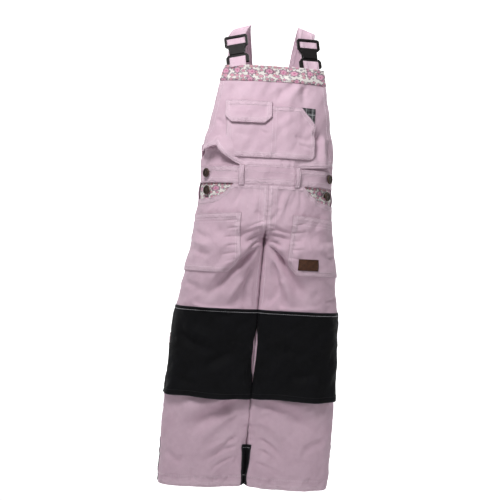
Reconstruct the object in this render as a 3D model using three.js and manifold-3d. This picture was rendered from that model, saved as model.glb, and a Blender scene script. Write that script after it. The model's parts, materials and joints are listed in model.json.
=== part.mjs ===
// Child's bib overalls, hung as worn: pink twill trousers and bib, floral facings, black knee and
// heel patches, webbing straps with side-release buckles, and swivelling waist buttons.
// Millimetres. +Z is up and the front faces -Y. The origin is midway between the undersides of the
// two shoulder straps at their crests. Left and right are the wearer's, so left is +X.
import * as THREE from "three";
import { mergeVertices } from "three/addons/utils/BufferGeometryUtils.js";
import Module from "manifold-3d";

// ---- Cloth thicknesses and clearances ----
const clothHalf = 0.9; // half the thickness of the trouser and bib cloth
const patchThick = 1.5; // thickness of a patch, pocket or band sewn on top
const liningThick = 1.0; // thickness of a facing or pocket bag
const liningGap = 1.4; // room between the trouser front and the lining that hangs inside it
const sewGap = 0.3; // gap kept between pieces that are sewn to each other
const seamHalf = sewGap / 2; // half the gap along a seam between two panels
const layGap = 1.2; // room between a curved panel and a patch whose columns differ from its own

// ---- Heights, as drops below the shoulder crests ----
const bibTop = 80;
const bandBottom = 108;
const waistTop = 268;
const waistBottom = 299;
const crotchStart = 350; // where the seat seams begin to curve under the body
const crotch = 402;
const kneeTop = 530;
const kneeBottom = 693;
const hemDrop = 866;
const heelTall = 82;
const heelTop = hemDrop - heelTall;
const hemLift = 9; // how much higher the hem is at the inside of the leg
const legSway = -14; // sideways lean of the hanging legs at the hem
const legRowTall = 23.6; // about how tall the facets of a trouser panel are

// ---- Clothed body: half width, half depth in front and behind, and half the gap between legs ----
const roundness = 2.5; // exponent of the rounded cross-section
const stations = [
  { drop: 60, wide: 114, front: 64, back: 60, part: 1.3 },
  { drop: 110, wide: 116, front: 68, back: 64, part: 1.3 },
  { drop: 170, wide: 120, front: 76, back: 68, part: 1.3 },
  { drop: 235, wide: 123.5, front: 82, back: 74, part: 1.3 },
  { drop: 300, wide: 124.5, front: 84, back: 82, part: 1.3 },
  { drop: 360, wide: 129, front: 86, back: 93, part: 1.3 },
  { drop: 402, wide: 133, front: 87, back: 92, part: 1.3 },
  { drop: 450, wide: 139.5, front: 77, back: 80, part: 1.3 },
  { drop: 515, wide: 149, front: 62, back: 64, part: 2.0 },
  { drop: 540, wide: 153.5, front: 57, back: 58, part: 3.2 },
  { drop: 605, wide: 157, front: 50, back: 50, part: 5.6 },
  { drop: 685, wide: 160, front: 46, back: 46, part: 3.2 },
  { drop: 735, wide: 161.5, front: 43, back: 43, part: 2.0 },
  { drop: heelTop, wide: 161.5, front: 41, back: 41, part: 3.2 },
  { drop: hemDrop, wide: 159, front: 38, back: 38, part: 3.2 },
];

// ---- Bib and chest pocket ----
const bibHalfTop = 91;
const bibHalfBand = 97;
const bibHalfLow = 122;
const bibLowDrop = 228; // where the side edge stops widening
const bibCentreHalf = 49.4; // the bib runs down into the waist between the front belt loops
const bibFreeEdge = [
  // lower free edge of the bib outside the belt loops: [x, drop] on the right and on the left
  [-122, 240],
  [-91, 231],
  [-50, 267],
  [50, 267],
  [100, 262],
  [122, 254],
];
const pocketHalf = 79.5;
const pocketTop = 154;
const pocketBottom = 250;
const pocketCorner = 12;
const penCutInner = 52; // where the slanted pen opening starts along the pocket's top
const penCutDrop = 184; // where it meets the pocket's side
const flapFrom = -84;
const flapTo = -1;
const flapTop = 146;
const flapBottom = 187;
const flapChamfer = 12;

// ---- Back ----
const backTop = 122;
const backHalfTop = 62;
const backSideDrop = 244;

// ---- Trouser pockets, patches and label ----
const handInner = 64; // inner end of the curved hand-pocket opening
const handDrop = 330; // where the opening meets the side seam
const facingBottom = 345;
const bagInner = 57;
const bagOuter = 99;
const bagBottom = 400;
const thighInner = 46;
const thighTop = 352;
const thighBottom = 463;
const thighChamfer = 17;
const thighMouth = 2.6; // how far the pocket mouth stands open
const labelX = 82;
const labelDrop = 442;
const labelWide = 34;
const labelTall = 20;
const kneeFlare = 4.2; // how far the open lower edge of a knee patch stands off the leg
const seatInner = 34;
const seatOuter = 108;
const seatTop = 338;
const seatBottom = 436;
const seatPoint = 14;
const toolFrom = 0.72; // share of the back of the leg, from inseam to side seam
const toolTo = 0.985;
const toolTop = 584;
const toolBottom = 686;
const toolTrim = 23;
const heelWrap = 0.14; // share of the front of the leg that the heel panel wraps onto

// ---- Belt loops ----
const loopWide = 9;
const loopTop = waistTop - 3;
const loopBottom = waistBottom + 3;
const loopRoom = 2.4;
const frontLoopX = 50;
const backLoopX = 78;

// ---- Straps ----
const strapWide = 33;
const strapThick = 2.0;
const crestX = 61;
const crestHalfFlat = 12; // half the length of the flat stretch on the shoulder
const crestTilt = 18; // degrees that the strap leans outward on the shoulder
const tailX = 75; // middle of the free tail behind the bib
const tailDrop = 106; // where the tail ends

// ---- Buckles; across = u, up the strap = v, out from the chest = w ----
const buckleSlope = 20; // degrees that the buckles lean back up the chest
const buckleYaw = 15; // degrees that each buckle faces outward, as the chest curves
const buckleY = -48;
const frameWide = 44;
const frameBar = 4.2;
const frameBottom = 18;
const windowTall = 15;
const frameTop = frameBottom + frameBar + windowTall + frameBar;
const frameBack = -2;
const frameFront = 2.5;
const sleeveHalf = 14;
const sleeveDeep = 4.5;
const sleeveWall = 1.8;
const sideWindowLow = 4;
const sideWindowHigh = 15;
const ringWide = 43;
const ringLeg = 6.2;
const crossBar = 5;
const lowBar = 3.5;
const ringLow = -17.5;
const prongHalf = 3.4;
const prongLength = 14;
const armRoot = 8.6;
const armWide = 2.6;
const armDeep = 2.1;
const armLength = 14;
const fitGap = 0.4; // running clearance in the buckle
const webHalf = 15.6; // half width of the webbing woven through the buckle
const webThick = 1.3;
const strapRoom = 1.4; // between a buckle and the strap behind it
const tailRoom = 9.5; // room behind the bib for the tab in front of the strap's tail

// ---- Buttons ----
const capRadius = 8.5;
const capTall = 3.2;
const neckRadius = 4;
const neckTall = 1.6;
const stemRadius = 1.7;
const tackRadius = 5;
const tackTall = 1.1;
const tackRoom = 1.0; // between the flat tack and the curved cloth
const buttonX = 112;
const waistButtonDrop = 281;
const lowerButtonDrop = 313;
const ringSides = 20;

const wasm = await Module();
wasm.setup();
const overalls = new THREE.Group();
const degrees = Math.PI / 180;

// ---- Materials ----
const finish = (color, roughness, metalness = 0) =>
  new THREE.MeshStandardMaterial({ color, roughness, metalness });
const pinkTwill = () => finish(0xd8bfcd, 0.9);
const floralCotton = () => finish(0xe4c4cf, 0.9);
const plaidCotton = () => finish(0x2c2a2d, 0.9);
const blackCanvas = () => finish(0x1c1b1d, 0.85);
const blackPlastic = () => finish(0x2e2a2a, 0.45);
const brownLeather = () => finish(0x4a2e20, 0.6);
const darkBrass = () => finish(0x3a322a, 0.45, 0.8);

// ---- Closed solids ----
// Merges shared corners and turns the faces outward.
function closed(geometry) {
  geometry.deleteAttribute("normal");
  geometry.deleteAttribute("uv");
  const solid = mergeVertices(geometry, 1e-4);
  const at = solid.getAttribute("position");
  const order = solid.index.array;
  const [a, b, c] = [new THREE.Vector3(), new THREE.Vector3(), new THREE.Vector3()];
  let volume = 0;
  for (let i = 0; i < order.length; i += 3) {
    a.fromBufferAttribute(at, order[i]);
    b.fromBufferAttribute(at, order[i + 1]);
    c.fromBufferAttribute(at, order[i + 2]);
    volume += a.dot(b.cross(c));
  }
  if (volume < 0) {
    for (let i = 0; i < order.length; i += 3) {
      [order[i + 1], order[i + 2]] = [order[i + 2], order[i + 1]];
    }
  }
  return solid;
}

function manifoldOf(geometry) {
  const solid = closed(geometry.clone());
  return new wasm.Manifold(
    new wasm.Mesh({
      numProp: 3,
      vertProperties: solid.getAttribute("position").array,
      triVerts: new Uint32Array(solid.index.array),
    }),
  );
}

function geometryOf(manifold) {
  const mesh = manifold.getMesh();
  const geometry = new THREE.BufferGeometry();
  geometry.setAttribute("position", new THREE.BufferAttribute(mesh.vertProperties, 3));
  geometry.setIndex(new THREE.BufferAttribute(mesh.triVerts, 1));
  return geometry;
}

function join(...pieces) {
  return geometryOf(pieces.map(manifoldOf).reduce((whole, piece) => whole.add(piece)));
}

function cut(body, ...tools) {
  return geometryOf(
    tools.map(manifoldOf).reduce((whole, tool) => whole.subtract(tool), manifoldOf(body)),
  );
}

function add(name, geometry, material, parent = overalls) {
  const mesh = new THREE.Mesh(geometry, material);
  mesh.name = name;
  parent.add(mesh);
  return mesh;
}

// ---- The clothed body ----
function profile(key) {
  const drops = stations.map((station) => station.drop);
  const values = stations.map((station) => station[key]);
  const curve = new THREE.CubicInterpolant(drops, values, 1, new Float32Array(1));
  return (drop) => curve.evaluate(drop)[0];
}
const wideAt = profile("wide");
const frontAt = profile("front");
const backAt = profile("back");
const partAt = profile("part");
const smooth = THREE.MathUtils.smoothstep;
const mix = THREE.MathUtils.lerp;
const rounded = (value) => Math.sign(value) * Math.abs(value) ** (2 / roundness);
const swayAt = (drop) => legSway * Math.max(0, (drop - crotchStart) / (hemDrop - crotchStart));
const FRONT = -1;
const BACK = 1;
const depthAt = (face, drop) => (face === FRONT ? frontAt(drop) : backAt(drop));

// A point of the torso: turn runs from -1 at the right side seam to 1 at the left one.
function torsoPoint(face, turn, drop, off) {
  const angle = (turn * Math.PI) / 2;
  const x = (wideAt(drop) + off) * rounded(Math.sin(angle));
  const y = face * Math.max((depthAt(face, drop) + off) * rounded(Math.cos(angle)), seamHalf);
  return new THREE.Vector3(x, y, -drop);
}

// A point of one trouser half: share runs from 0 at the centre seam or inseam to 1 at the side seam.
function legPoint(side, face, share, drop, off, seam = seamHalf) {
  const legness = smooth(drop, crotchStart, crotch);
  const wide = wideAt(drop);
  const depth = depthAt(face, drop) + off;
  const bodyAngle = (share * Math.PI) / 2;
  const bodyX = (wide + off) * rounded(Math.sin(bodyAngle));
  const bodyY = depth * rounded(Math.cos(bodyAngle));
  const legAngle = (share - 0.5) * Math.PI;
  const part = partAt(drop);
  const legHalf = (wide - part) / 2;
  const legX = part + legHalf + (legHalf + off) * rounded(Math.sin(legAngle));
  const legY = depth * rounded(Math.cos(legAngle));
  const x = Math.max(mix(bodyX, legX, legness), seamHalf);
  const y = Math.max(mix(bodyY, legY, legness), seam);
  return new THREE.Vector3(side * x + swayAt(drop), face * y, -drop);
}

// The turn or share at which the cloth passes a given distance from the centre plane.
function turnAt(x, drop) {
  const reach = Math.min(Math.abs(x) / wideAt(drop), 1);
  return (Math.sign(x) * Math.asin(reach ** (roundness / 2))) / (Math.PI / 2);
}

function shareAt(face, x, drop) {
  let [low, high] = [0, 1];
  for (let i = 0; i < 24; i += 1) {
    const middle = (low + high) / 2;
    const reach = legPoint(1, face, middle, drop, 0).x - swayAt(drop);
    if (reach < x) low = middle;
    else high = middle;
  }
  return low;
}

// ---- Cloth pieces ----
// A thin closed piece: a box whose columns and rows are laid onto a shaped surface. lay gets the
// column, the row share (0 at the top) and the height off the surface. A height can be a function.
function sheet(columns, rows, inner, outer, lay) {
  const box = new THREE.BoxGeometry(1, 1, 1, columns.length - 1, rows, 1);
  const at = box.getAttribute("position");
  const height = (value, column, row) => (typeof value === "function" ? value(column, row) : value);
  for (let i = 0; i < at.count; i += 1) {
    const column = columns[Math.round((at.getX(i) + 0.5) * (columns.length - 1))];
    const row = 0.5 - at.getY(i);
    const off = height(at.getZ(i) > 0 ? outer : inner, column, row);
    const point = lay(column, row, off);
    at.setXYZ(i, point.x, point.y, point.z);
  }
  return closed(box);
}

const spread = (from, to, count) =>
  Array.from({ length: count + 1 }, (_, i) => mix(from, to, i / count));

// A line through hand-picked corners, [place, value] in rising order of place.
function broken(corners) {
  return (place) => {
    const next = corners.findIndex(([corner]) => corner >= place);
    if (next === 0) return corners[0][1];
    if (next < 0) return corners[corners.length - 1][1];
    const [[x0, y0], [x1, y1]] = [corners[next - 1], corners[next]];
    return mix(y0, y1, (place - x0) / (x1 - x0));
  };
}

// A patch on a trouser half between two distances from the centre plane.
function legPatch(side, face, xs, rows, top, bottom, inner, outer) {
  return sheet(xs, rows, inner, outer, (x, row, off) => {
    const drop = mix(top(x), bottom(x), row);
    return legPoint(side, face, shareAt(face, x, drop), drop, off);
  });
}

// ---- Bib ----
function makeBib() {
  const halfAt = broken([
    [bibTop, bibHalfTop],
    [bandBottom, bibHalfBand],
    [bibLowDrop, bibHalfLow],
  ]);
  const freeEdge = broken(bibFreeEdge);
  const across = spread(-1, 1, 20);
  const layBib = (top, bottom) => (column, row, off) => {
    const drop = mix(top, bottom(column * bibHalfLow), row);
    return torsoPoint(FRONT, turnAt(column * halfAt(drop), drop), drop, off);
  };
  const upper = sheet(across, 12, -clothHalf, clothHalf, layBib(bibTop + 1, freeEdge));
  const centre = sheet(
    spread(-bibCentreHalf, bibCentreHalf, 8),
    3,
    -clothHalf,
    clothHalf,
    (x, row, off) => {
      const drop = mix(waistTop - 6, waistBottom - sewGap, row);
      return torsoPoint(FRONT, turnAt(x, drop), drop, off);
    },
  );
  add("bib_panel", join(upper, centre), pinkTwill());
  const bandInner = clothHalf + sewGap;
  const band = sheet(
    across,
    3,
    bandInner,
    bandInner + patchThick,
    layBib(bibTop, () => bandBottom),
  );
  add("bib_top_band", band, floralCotton());
}

function makeChestPocket() {
  const facingInner = clothHalf + layGap / 2;
  const facingOuter = facingInner + liningThick;
  const pocketInner = facingOuter + sewGap;
  const pocketOuter = pocketInner + patchThick;
  const flapInner = pocketOuter + sewGap;
  const layFlat = (top, bottom) => (x, row, off) => {
    const drop = mix(top(x), bottom(x), row);
    return torsoPoint(FRONT, turnAt(x, drop), drop, off);
  };
  const level = (drop) => () => drop;
  const pocketCut = broken([
    [penCutInner, pocketTop],
    [pocketHalf, penCutDrop],
  ]);
  const corner = (x) => {
    const past = Math.max(0, Math.abs(x) - (pocketHalf - pocketCorner));
    return pocketBottom - pocketCorner + Math.sqrt(pocketCorner ** 2 - past ** 2);
  };
  const cornerSteps = [0.35, 0.7, 0.92, 1].map((step) => pocketHalf - pocketCorner * (1 - step));
  const columns = [
    ...cornerSteps.map((x) => -x).reverse(),
    ...spread(-pocketHalf + pocketCorner, penCutInner, 10),
    ...cornerSteps,
  ].sort((a, b) => a - b);
  const pocket = sheet(columns, 6, pocketInner, pocketOuter, layFlat(pocketCut, corner));
  add("chest_pocket", pocket, pinkTwill());

  const facing = sheet(
    [penCutInner - 6, ...columns.filter((x) => x > penCutInner - 6 && x < pocketHalf)],
    3,
    facingInner,
    facingOuter,
    layFlat(level(pocketTop), level(penCutDrop + 8)),
  );
  add("pen_pocket_facing", facing, plaidCotton());

  const flapEdge = broken([
    [flapFrom, flapBottom - flapChamfer],
    [flapFrom + flapChamfer, flapBottom],
    [flapTo - flapChamfer, flapBottom],
    [flapTo, flapBottom - flapChamfer],
  ]);
  const flapColumns = [
    flapFrom,
    ...spread(flapFrom + flapChamfer, flapTo - flapChamfer, 6),
    flapTo,
  ];
  const flap = sheet(
    flapColumns,
    4,
    flapInner,
    flapInner + patchThick,
    layFlat(level(flapTop), flapEdge),
  );
  add("chest_pocket_flap", flap, pinkTwill());
}

// ---- Back ----
function makeBack() {
  const halfAt = broken([
    [backTop, backHalfTop],
    [backTop + 45, backHalfTop + 12],
    [backSideDrop - 30, 104],
    [backSideDrop - 12, 116],
    [backSideDrop, 200],
  ]);
  const panel = sheet(spread(-1, 1, 20), 14, -clothHalf, clothHalf, (column, row, off) => {
    const drop = mix(backTop, waistTop - sewGap, row);
    return torsoPoint(BACK, column * turnAt(halfAt(drop), drop), drop, off);
  });
  add("back_panel", panel, pinkTwill());
  const waistband = sheet(spread(-1, 1, 20), 2, -clothHalf, clothHalf, (column, row, off) =>
    torsoPoint(BACK, column, mix(waistTop, waistBottom - sewGap, row), off),
  );
  add("back_waistband", waistband, pinkTwill());
}

// ---- Buttons ----
// The frame of a button: its origin on the cloth's middle, local Y pointing out of the cloth.
function buttonFrame(side, drop) {
  const turn = turnAt(side * buttonX, drop);
  const at = torsoPoint(FRONT, turn, drop, 0);
  const step = 0.01;
  const along = torsoPoint(FRONT, turn + step, drop, 0).sub(at);
  const down = torsoPoint(FRONT, turn, drop + 1, 0).sub(at);
  const out = down.cross(along).normalize();
  if (out.y > 0) out.negate();
  const group = new THREE.Group();
  group.position.copy(at);
  group.quaternion.setFromUnitVectors(new THREE.Vector3(0, 1, 0), out);
  group.updateMatrix();
  return group;
}

function turned(points) {
  return new THREE.LatheGeometry(
    points.map(([radius, height]) => new THREE.Vector2(radius, height)),
    ringSides,
  );
}

// Adds the cap, which swivels, and the tack, and returns the hole that the tack's stem needs.
function makeButton(name, side, drop, clothInner, clothOuter) {
  const frame = buttonFrame(side, drop);
  const seat = clothOuter + sewGap;
  const rim = seat + neckTall;
  const top = rim + capTall;
  const socketTop = top - 1.2;
  const socketRadius = stemRadius + fitGap;
  const cap = turned([
    [socketRadius, seat],
    [neckRadius, seat],
    [neckRadius, rim],
    [capRadius - 0.6, rim],
    [capRadius, rim + 0.7],
    [capRadius, top - 0.9],
    [capRadius - 0.8, top],
    [capRadius - 2.2, top],
    [capRadius - 3.2, top - 0.7],
    [0, top - 0.4],
    [0, socketTop],
    [socketRadius, socketTop],
    [socketRadius, seat],
  ]);
  const tackFace = clothInner - tackRoom;
  const tack = turned([
    [0, tackFace - tackTall],
    [tackRadius - 0.5, tackFace - tackTall],
    [tackRadius, tackFace - tackTall + 0.4],
    [tackRadius, tackFace],
    [stemRadius, tackFace],
    [stemRadius, socketTop - fitGap],
    [0, socketTop - fitGap],
  ]);
  add(name, cap, darkBrass(), frame);
  add(name + "_tack", tack, darkBrass(), frame);
  overalls.add(frame);
  const hole = new THREE.CylinderGeometry(socketRadius, socketRadius, 12, ringSides);
  return hole.applyMatrix4(frame.matrix);
}

// ---- Trouser halves ----
const handEdge = (x) => {
  const along = THREE.MathUtils.clamp((x - handInner) / (wideAt(handDrop) - handInner), 0, 1);
  return waistBottom + (handDrop - waistBottom) * (1 - (1 - along) ** 2.6);
};
const hemAt = (share) => hemDrop - hemLift * (1 - share) ** 3;
const clothTop = clothHalf + sewGap;
const patchTop = clothTop + patchThick;

// The columns of a trouser half. What is sewn on shares them, so the layers stay parallel.
const shares = [0, 0.06, 0.14, 0.24, 0.36, 0.48, 0.6, 0.72, 0.83, 0.92, 1];
const sharesBetween = (from, to) => [
  from,
  ...shares.filter((share) => share > from && share < to),
  to,
];

function makeTrouserHalf(side, word) {
  const frontTop = (share) => handEdge(legPoint(1, FRONT, share, waistBottom + 12, 0).x);
  const legRows = Math.round((hemDrop - waistBottom) / legRowTall);
  const panel = (face, top) =>
    sheet(shares, legRows, -clothHalf, clothHalf, (share, row, off) => {
      const drop = mix(top(share), hemAt(share), row);
      return legPoint(side, face, share, drop, off);
    });
  add(word + "_front_leg", panel(FRONT, frontTop), pinkTwill());
  add(word + "_back_leg", panel(BACK, () => waistBottom), pinkTwill());

  const facingOuter = -clothHalf - liningGap;
  const facingInner = facingOuter - liningThick;
  const waistRoom = waistBottom + sewGap;
  const layInside = (top, bottom) => (share, row, off) =>
    legPoint(side, FRONT, share, mix(top, bottom, row), off);
  const facingColumns = sharesBetween(shareAt(FRONT, handInner - 4, waistRoom), 0.985);
  const facing = sheet(
    facingColumns,
    3,
    facingInner,
    facingOuter,
    layInside(waistRoom, facingBottom),
  );
  const lowerHole = makeButton(
    word + "_lower_button",
    side,
    lowerButtonDrop,
    facingInner,
    facingOuter,
  );
  add(word + "_hand_pocket_facing", cut(facing, lowerHole), floralCotton());

  const bagOuterOff = facingInner - layGap;
  const bag = sheet(
    sharesBetween(
      shareAt(FRONT, bagInner, facingBottom),
      shareAt(FRONT, bagOuter, facingBottom),
    ),
    5,
    bagOuterOff - liningThick,
    bagOuterOff,
    layInside(waistRoom, bagBottom),
  );
  add(word + "_hand_pocket_bag", bag, pinkTwill());

  const waistHole = makeButton(
    word + "_waist_button",
    side,
    waistButtonDrop,
    -clothHalf,
    clothHalf,
  );
  const bandTurns = spread(turnAt(bibCentreHalf + sewGap, waistTop), 1, 9);
  const waistband = sheet(bandTurns, 2, -clothHalf, clothHalf, (turn, row, off) =>
    torsoPoint(FRONT, side * turn, mix(waistTop, waistBottom - sewGap, row), off),
  );
  add(word + "_front_waistband", cut(waistband, waistHole), pinkTwill());
}

function makeThighPocket(side, word) {
  const outerX = (drop) => wideAt(drop) - 1.5;
  const chamfer = broken([
    [thighInner, thighBottom - thighChamfer],
    [thighInner + thighChamfer, thighBottom],
  ]);
  const columns = [0, 0.18, 0.32, 0.46, 0.6, 0.73, 0.84, 0.93, 1];
  const base = clothHalf + layGap;
  const inner = (share, row) => base + thighMouth * Math.sin(share * Math.PI) * (1 - row) ** 2;
  const pocket = sheet(
    columns,
    7,
    inner,
    (share, row) => inner(share, row) + patchThick,
    (share, row, off) => {
      const reach = (drop) => mix(thighInner, outerX(drop), share);
      const drop = mix(thighTop + 6 * share, chamfer(reach(thighBottom)), row);
      return legPoint(side, FRONT, shareAt(FRONT, reach(drop), drop), drop, off);
    },
  );
  add(word + "_thigh_pocket", pocket, pinkTwill());
}

function makeLabel() {
  const half = labelWide / 2;
  const lift = clothHalf + patchThick + 2 * layGap;
  const label = legPatch(
    1,
    FRONT,
    spread(labelX - half, labelX + half, 3),
    2,
    () => labelDrop - labelTall / 2,
    () => labelDrop + labelTall / 2,
    lift,
    lift + liningThick,
  );
  add("leather_label", label, brownLeather());
}

function makeKneePatch(side, word) {
  const columns = sharesBetween(0.06, 0.985);
  const stand = (share, row) => clothTop + kneeFlare * Math.sin(share * Math.PI) * row ** 2;
  const patch = sheet(
    columns,
    8,
    stand,
    (share, row) => stand(share, row) + patchThick,
    (share, row, off) => legPoint(side, FRONT, share, mix(kneeTop, kneeBottom, row), off),
  );
  add(word + "_knee_patch", patch, blackCanvas());
}

function makeHeelPanel(side, word) {
  const columns = [-heelWrap, -shares[1], ...sharesBetween(0, 0.985)];
  const panel = sheet(columns, 4, clothTop, patchTop, (share, row, off) => {
    const face = share < 0 ? FRONT : BACK;
    const drop = mix(heelTop, hemAt(Math.abs(share)) - 1.5, row);
    return legPoint(side, face, Math.abs(share), drop, off, 0);
  });
  add(word + "_heel_panel", panel, blackCanvas());
}

function makeSeatPocket(side, word) {
  const middle = (seatInner + seatOuter) / 2;
  const point = broken([
    [seatInner, seatBottom - seatPoint],
    [middle, seatBottom],
    [seatOuter, seatBottom - seatPoint],
  ]);
  const pocket = legPatch(
    side,
    BACK,
    spread(seatInner, seatOuter, 8),
    6,
    () => seatTop,
    point,
    clothHalf + layGap,
    clothHalf + layGap + patchThick,
  );
  add(word + "_seat_pocket", pocket, pinkTwill());
}

function makeToolPocket() {
  const columns = sharesBetween(toolFrom, toolTo);
  const layTool = (top, bottom) => (share, row, off) =>
    legPoint(-1, BACK, share, mix(top, bottom, row), off);
  const pocket = sheet(columns, 6, clothTop, patchTop, layTool(toolTop + 1, toolBottom));
  add("tool_pocket", pocket, pinkTwill());
  const lift = patchTop + sewGap;
  const trim = sheet(columns, 2, lift, lift + patchThick, layTool(toolTop, toolTop + toolTrim));
  add("tool_pocket_trim", trim, floralCotton());
}

// ---- Belt loops ----
function makeLoop(name, face, x) {
  const stand = (column, row) => clothTop + loopRoom * Math.sin(row * Math.PI);
  const loop = sheet(
    [x - loopWide / 2, x + loopWide / 2],
    6,
    stand,
    (column, row) => stand(column, row) + patchThick,
    (reach, row, off) => {
      const drop = mix(loopTop, loopBottom, row);
      return torsoPoint(face, turnAt(reach, drop), drop, off);
    },
  );
  add(name, loop, pinkTwill());
}

// ---- Buckles ----
// A flat plate in the buckle's plane, between two heights off the chest.
function plate(outline, low, high, holes = []) {
  const toShape = (points) => new THREE.Shape(points.map(([u, v]) => new THREE.Vector2(u, v)));
  const shape = toShape(outline);
  shape.holes = holes.map((points) => new THREE.Path(toShape(points).getPoints()));
  const solid = new THREE.ExtrudeGeometry(shape, { depth: high - low, bevelEnabled: false });
  return solid.translate(0, 0, low);
}

const rectangle = (left, low, right, high, bevel = 0) =>
  bevel === 0
    ? [[left, low], [right, low], [right, high], [left, high]]
    : [
        [left + bevel, low], [right - bevel, low], [right, low + bevel], [right, high - bevel],
        [right - bevel, high], [left + bevel, high], [left, high - bevel], [left, low + bevel],
      ];

// A strip across the buckle whose side view is a list of [v, w] corners.
function crossStrip(corners, half) {
  const shape = new THREE.Shape(corners.map(([v, w]) => new THREE.Vector2(v, w)));
  const solid = new THREE.ExtrudeGeometry(shape, { depth: 2 * half, bevelEnabled: false });
  solid.translate(0, 0, -half);
  // side view (v, w) runs along the extrusion's x and y: turn them onto the buckle's v and w
  const turn = new THREE.Matrix4().set(0, 0, 1, 0, 1, 0, 0, 0, 0, 1, 0, 0, 0, 0, 0, 1);
  return solid.applyMatrix4(turn);
}

function makeSocket(name, group) {
  const half = frameWide / 2;
  const windowLow = frameBottom + frameBar;
  const ring = plate(
    rectangle(-half, frameBottom, half, frameTop, 3),
    frameBack,
    frameFront,
    [rectangle(-half + frameBar, windowLow, half - frameBar, windowLow + windowTall)],
  );
  const middle = windowLow + windowTall / 2;
  const ladder = plate(
    rectangle(-half + 1, middle - 1.6, half - 1, middle + 1.6),
    frameBack,
    0.2,
  );
  const sleeve = plate(
    [[-sleeveHalf, fitGap], [sleeveHalf, fitGap], [sleeveHalf, frameBottom - 5],
     [sleeveHalf + 4, frameBottom + 1.5], [-sleeveHalf - 4, frameBottom + 1.5],
     [-sleeveHalf, frameBottom - 5]],
    -sleeveDeep,
    sleeveDeep,
  );
  const cavity = plate(
    rectangle(-sleeveHalf + sleeveWall, -5, sleeveHalf - sleeveWall, frameBottom - 1),
    -sleeveDeep + sleeveWall,
    sleeveDeep - sleeveWall,
  );
  const sideWindows = plate(
    rectangle(-sleeveHalf - 6, sideWindowLow, sleeveHalf + 6, sideWindowHigh),
    -sleeveDeep + sleeveWall,
    sleeveDeep - sleeveWall,
  );
  add(name, cut(join(ring, ladder, sleeve), cavity, sideWindows), blackPlastic(), group);
}

function makeWeave(name, group) {
  const low = frameBottom + frameBar + fitGap;
  const high = low + windowTall - 2 * fitGap;
  const back = -sleeveDeep;
  const face = frameFront - 0.2;
  const weave = crossStrip(
    [
      [low, back], [low + webThick, back], [low + webThick, face - webThick - 0.6],
      [low + webThick + 0.6, face - webThick], [high - webThick - 0.6, face - webThick],
      [high - webThick, face - webThick - 0.6], [high - webThick, back], [high, back],
      [high, face - 1.2], [high - 1.2, face], [low + 1.2, face], [low, face - 1.2],
    ],
    webHalf,
  );
  add(name, weave, pinkTwill(), group);
}

function makePlug(name, group) {
  const half = ringWide / 2;
  const ring = plate(
    [[-half + 4, 0], [-half, -5], [-half, ringLow + 1.5], [-half + 1.5, ringLow],
     [half - 1.5, ringLow], [half, ringLow + 1.5], [half, -5], [half - 4, 0]],
    -2.4,
    2.4,
    [rectangle(-half + ringLeg, ringLow + lowBar, half - ringLeg, -crossBar)],
  );
  const prong = plate(
    rectangle(-prongHalf, -2, prongHalf, prongLength, 1),
    -sleeveDeep + sleeveWall + fitGap,
    sleeveDeep - sleeveWall - fitGap,
  );
  add(name, join(ring, prong), blackPlastic(), group);
}

// A sprung latch arm: hand is -1 or 1 across the buckle. Its thumb pad fills the sleeve's side window.
function makeArm(name, hand, group) {
  const pad = sleeveHalf + 1.2;
  const outline = [
    [armRoot, fitGap], [armRoot + armWide, fitGap], [armRoot + armWide, sideWindowLow + 1],
    [pad, sideWindowLow + 3], [pad, sideWindowHigh - 3], [armRoot + armWide, armLength],
    [armRoot, armLength],
  ].map(([u, v]) => [hand * u, v]);
  if (hand < 0) outline.reverse();
  add(name, plate(outline, -armDeep, armDeep), blackPlastic(), group);
}

// The bib tab: cloth that loops round the plug's lower bar and runs down behind the bib.
function makeTab(name, group) {
  const [deep, inside] = [3.7, 2.2];
  const [top, under, frontEnd, backEnd] = [-crossBar - fitGap, -7.2, ringLow - 0.5, -25];
  const tab = crossStrip(
    [
      [backEnd, -deep], [top - 1.6, -deep], [top, -inside], [top, inside], [top - 1.6, deep],
      [frontEnd, deep], [frontEnd, inside + 0.6], [under - 0.8, inside + 0.6],
      [under, inside - 0.2], [under, -inside + 0.2], [under - 0.8, -inside - 0.6],
      [backEnd, -inside - 0.6],
    ],
    ringWide / 2 - ringLeg - fitGap,
  );
  add(name, tab, pinkTwill(), group);
}

// mouthX is where the plug enters, lean is the buckle's sideways lean in degrees.
function makeBuckle(side, word, mouthX, mouthDrop, lean) {
  const group = new THREE.Group();
  group.position.set(mouthX, buckleY, -mouthDrop);
  group.rotation.set((90 - buckleSlope) * degrees, 0, lean * degrees);
  const facingOut = new THREE.Vector3(0, 0, 1);
  group.applyQuaternion(
    new THREE.Quaternion().setFromAxisAngle(facingOut, side * buckleYaw * degrees),
  );
  group.updateMatrix();
  makeSocket(word + "_buckle_socket", group);
  makeWeave(word + "_strap_weave", group);
  makePlug(word + "_buckle_plug", group);
  makeArm(word + "_inner_latch_arm", -side, group);
  makeArm(word + "_outer_latch_arm", side, group);
  makeTab(word + "_bib_tab", group);
  overalls.add(group);
  return group;
}

// ---- Straps ----
// A row of the tail, which hangs inside the bib.
function tailRow(side, drop) {
  const off = -clothHalf - tailRoom - strapThick;
  const turn = turnAt(side * tailX, drop);
  const middle = torsoPoint(FRONT, turn, drop, off);
  const step = 0.02;
  const across = torsoPoint(FRONT, turn + step, drop, off).sub(middle).normalize();
  return [middle, across];
}

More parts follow.
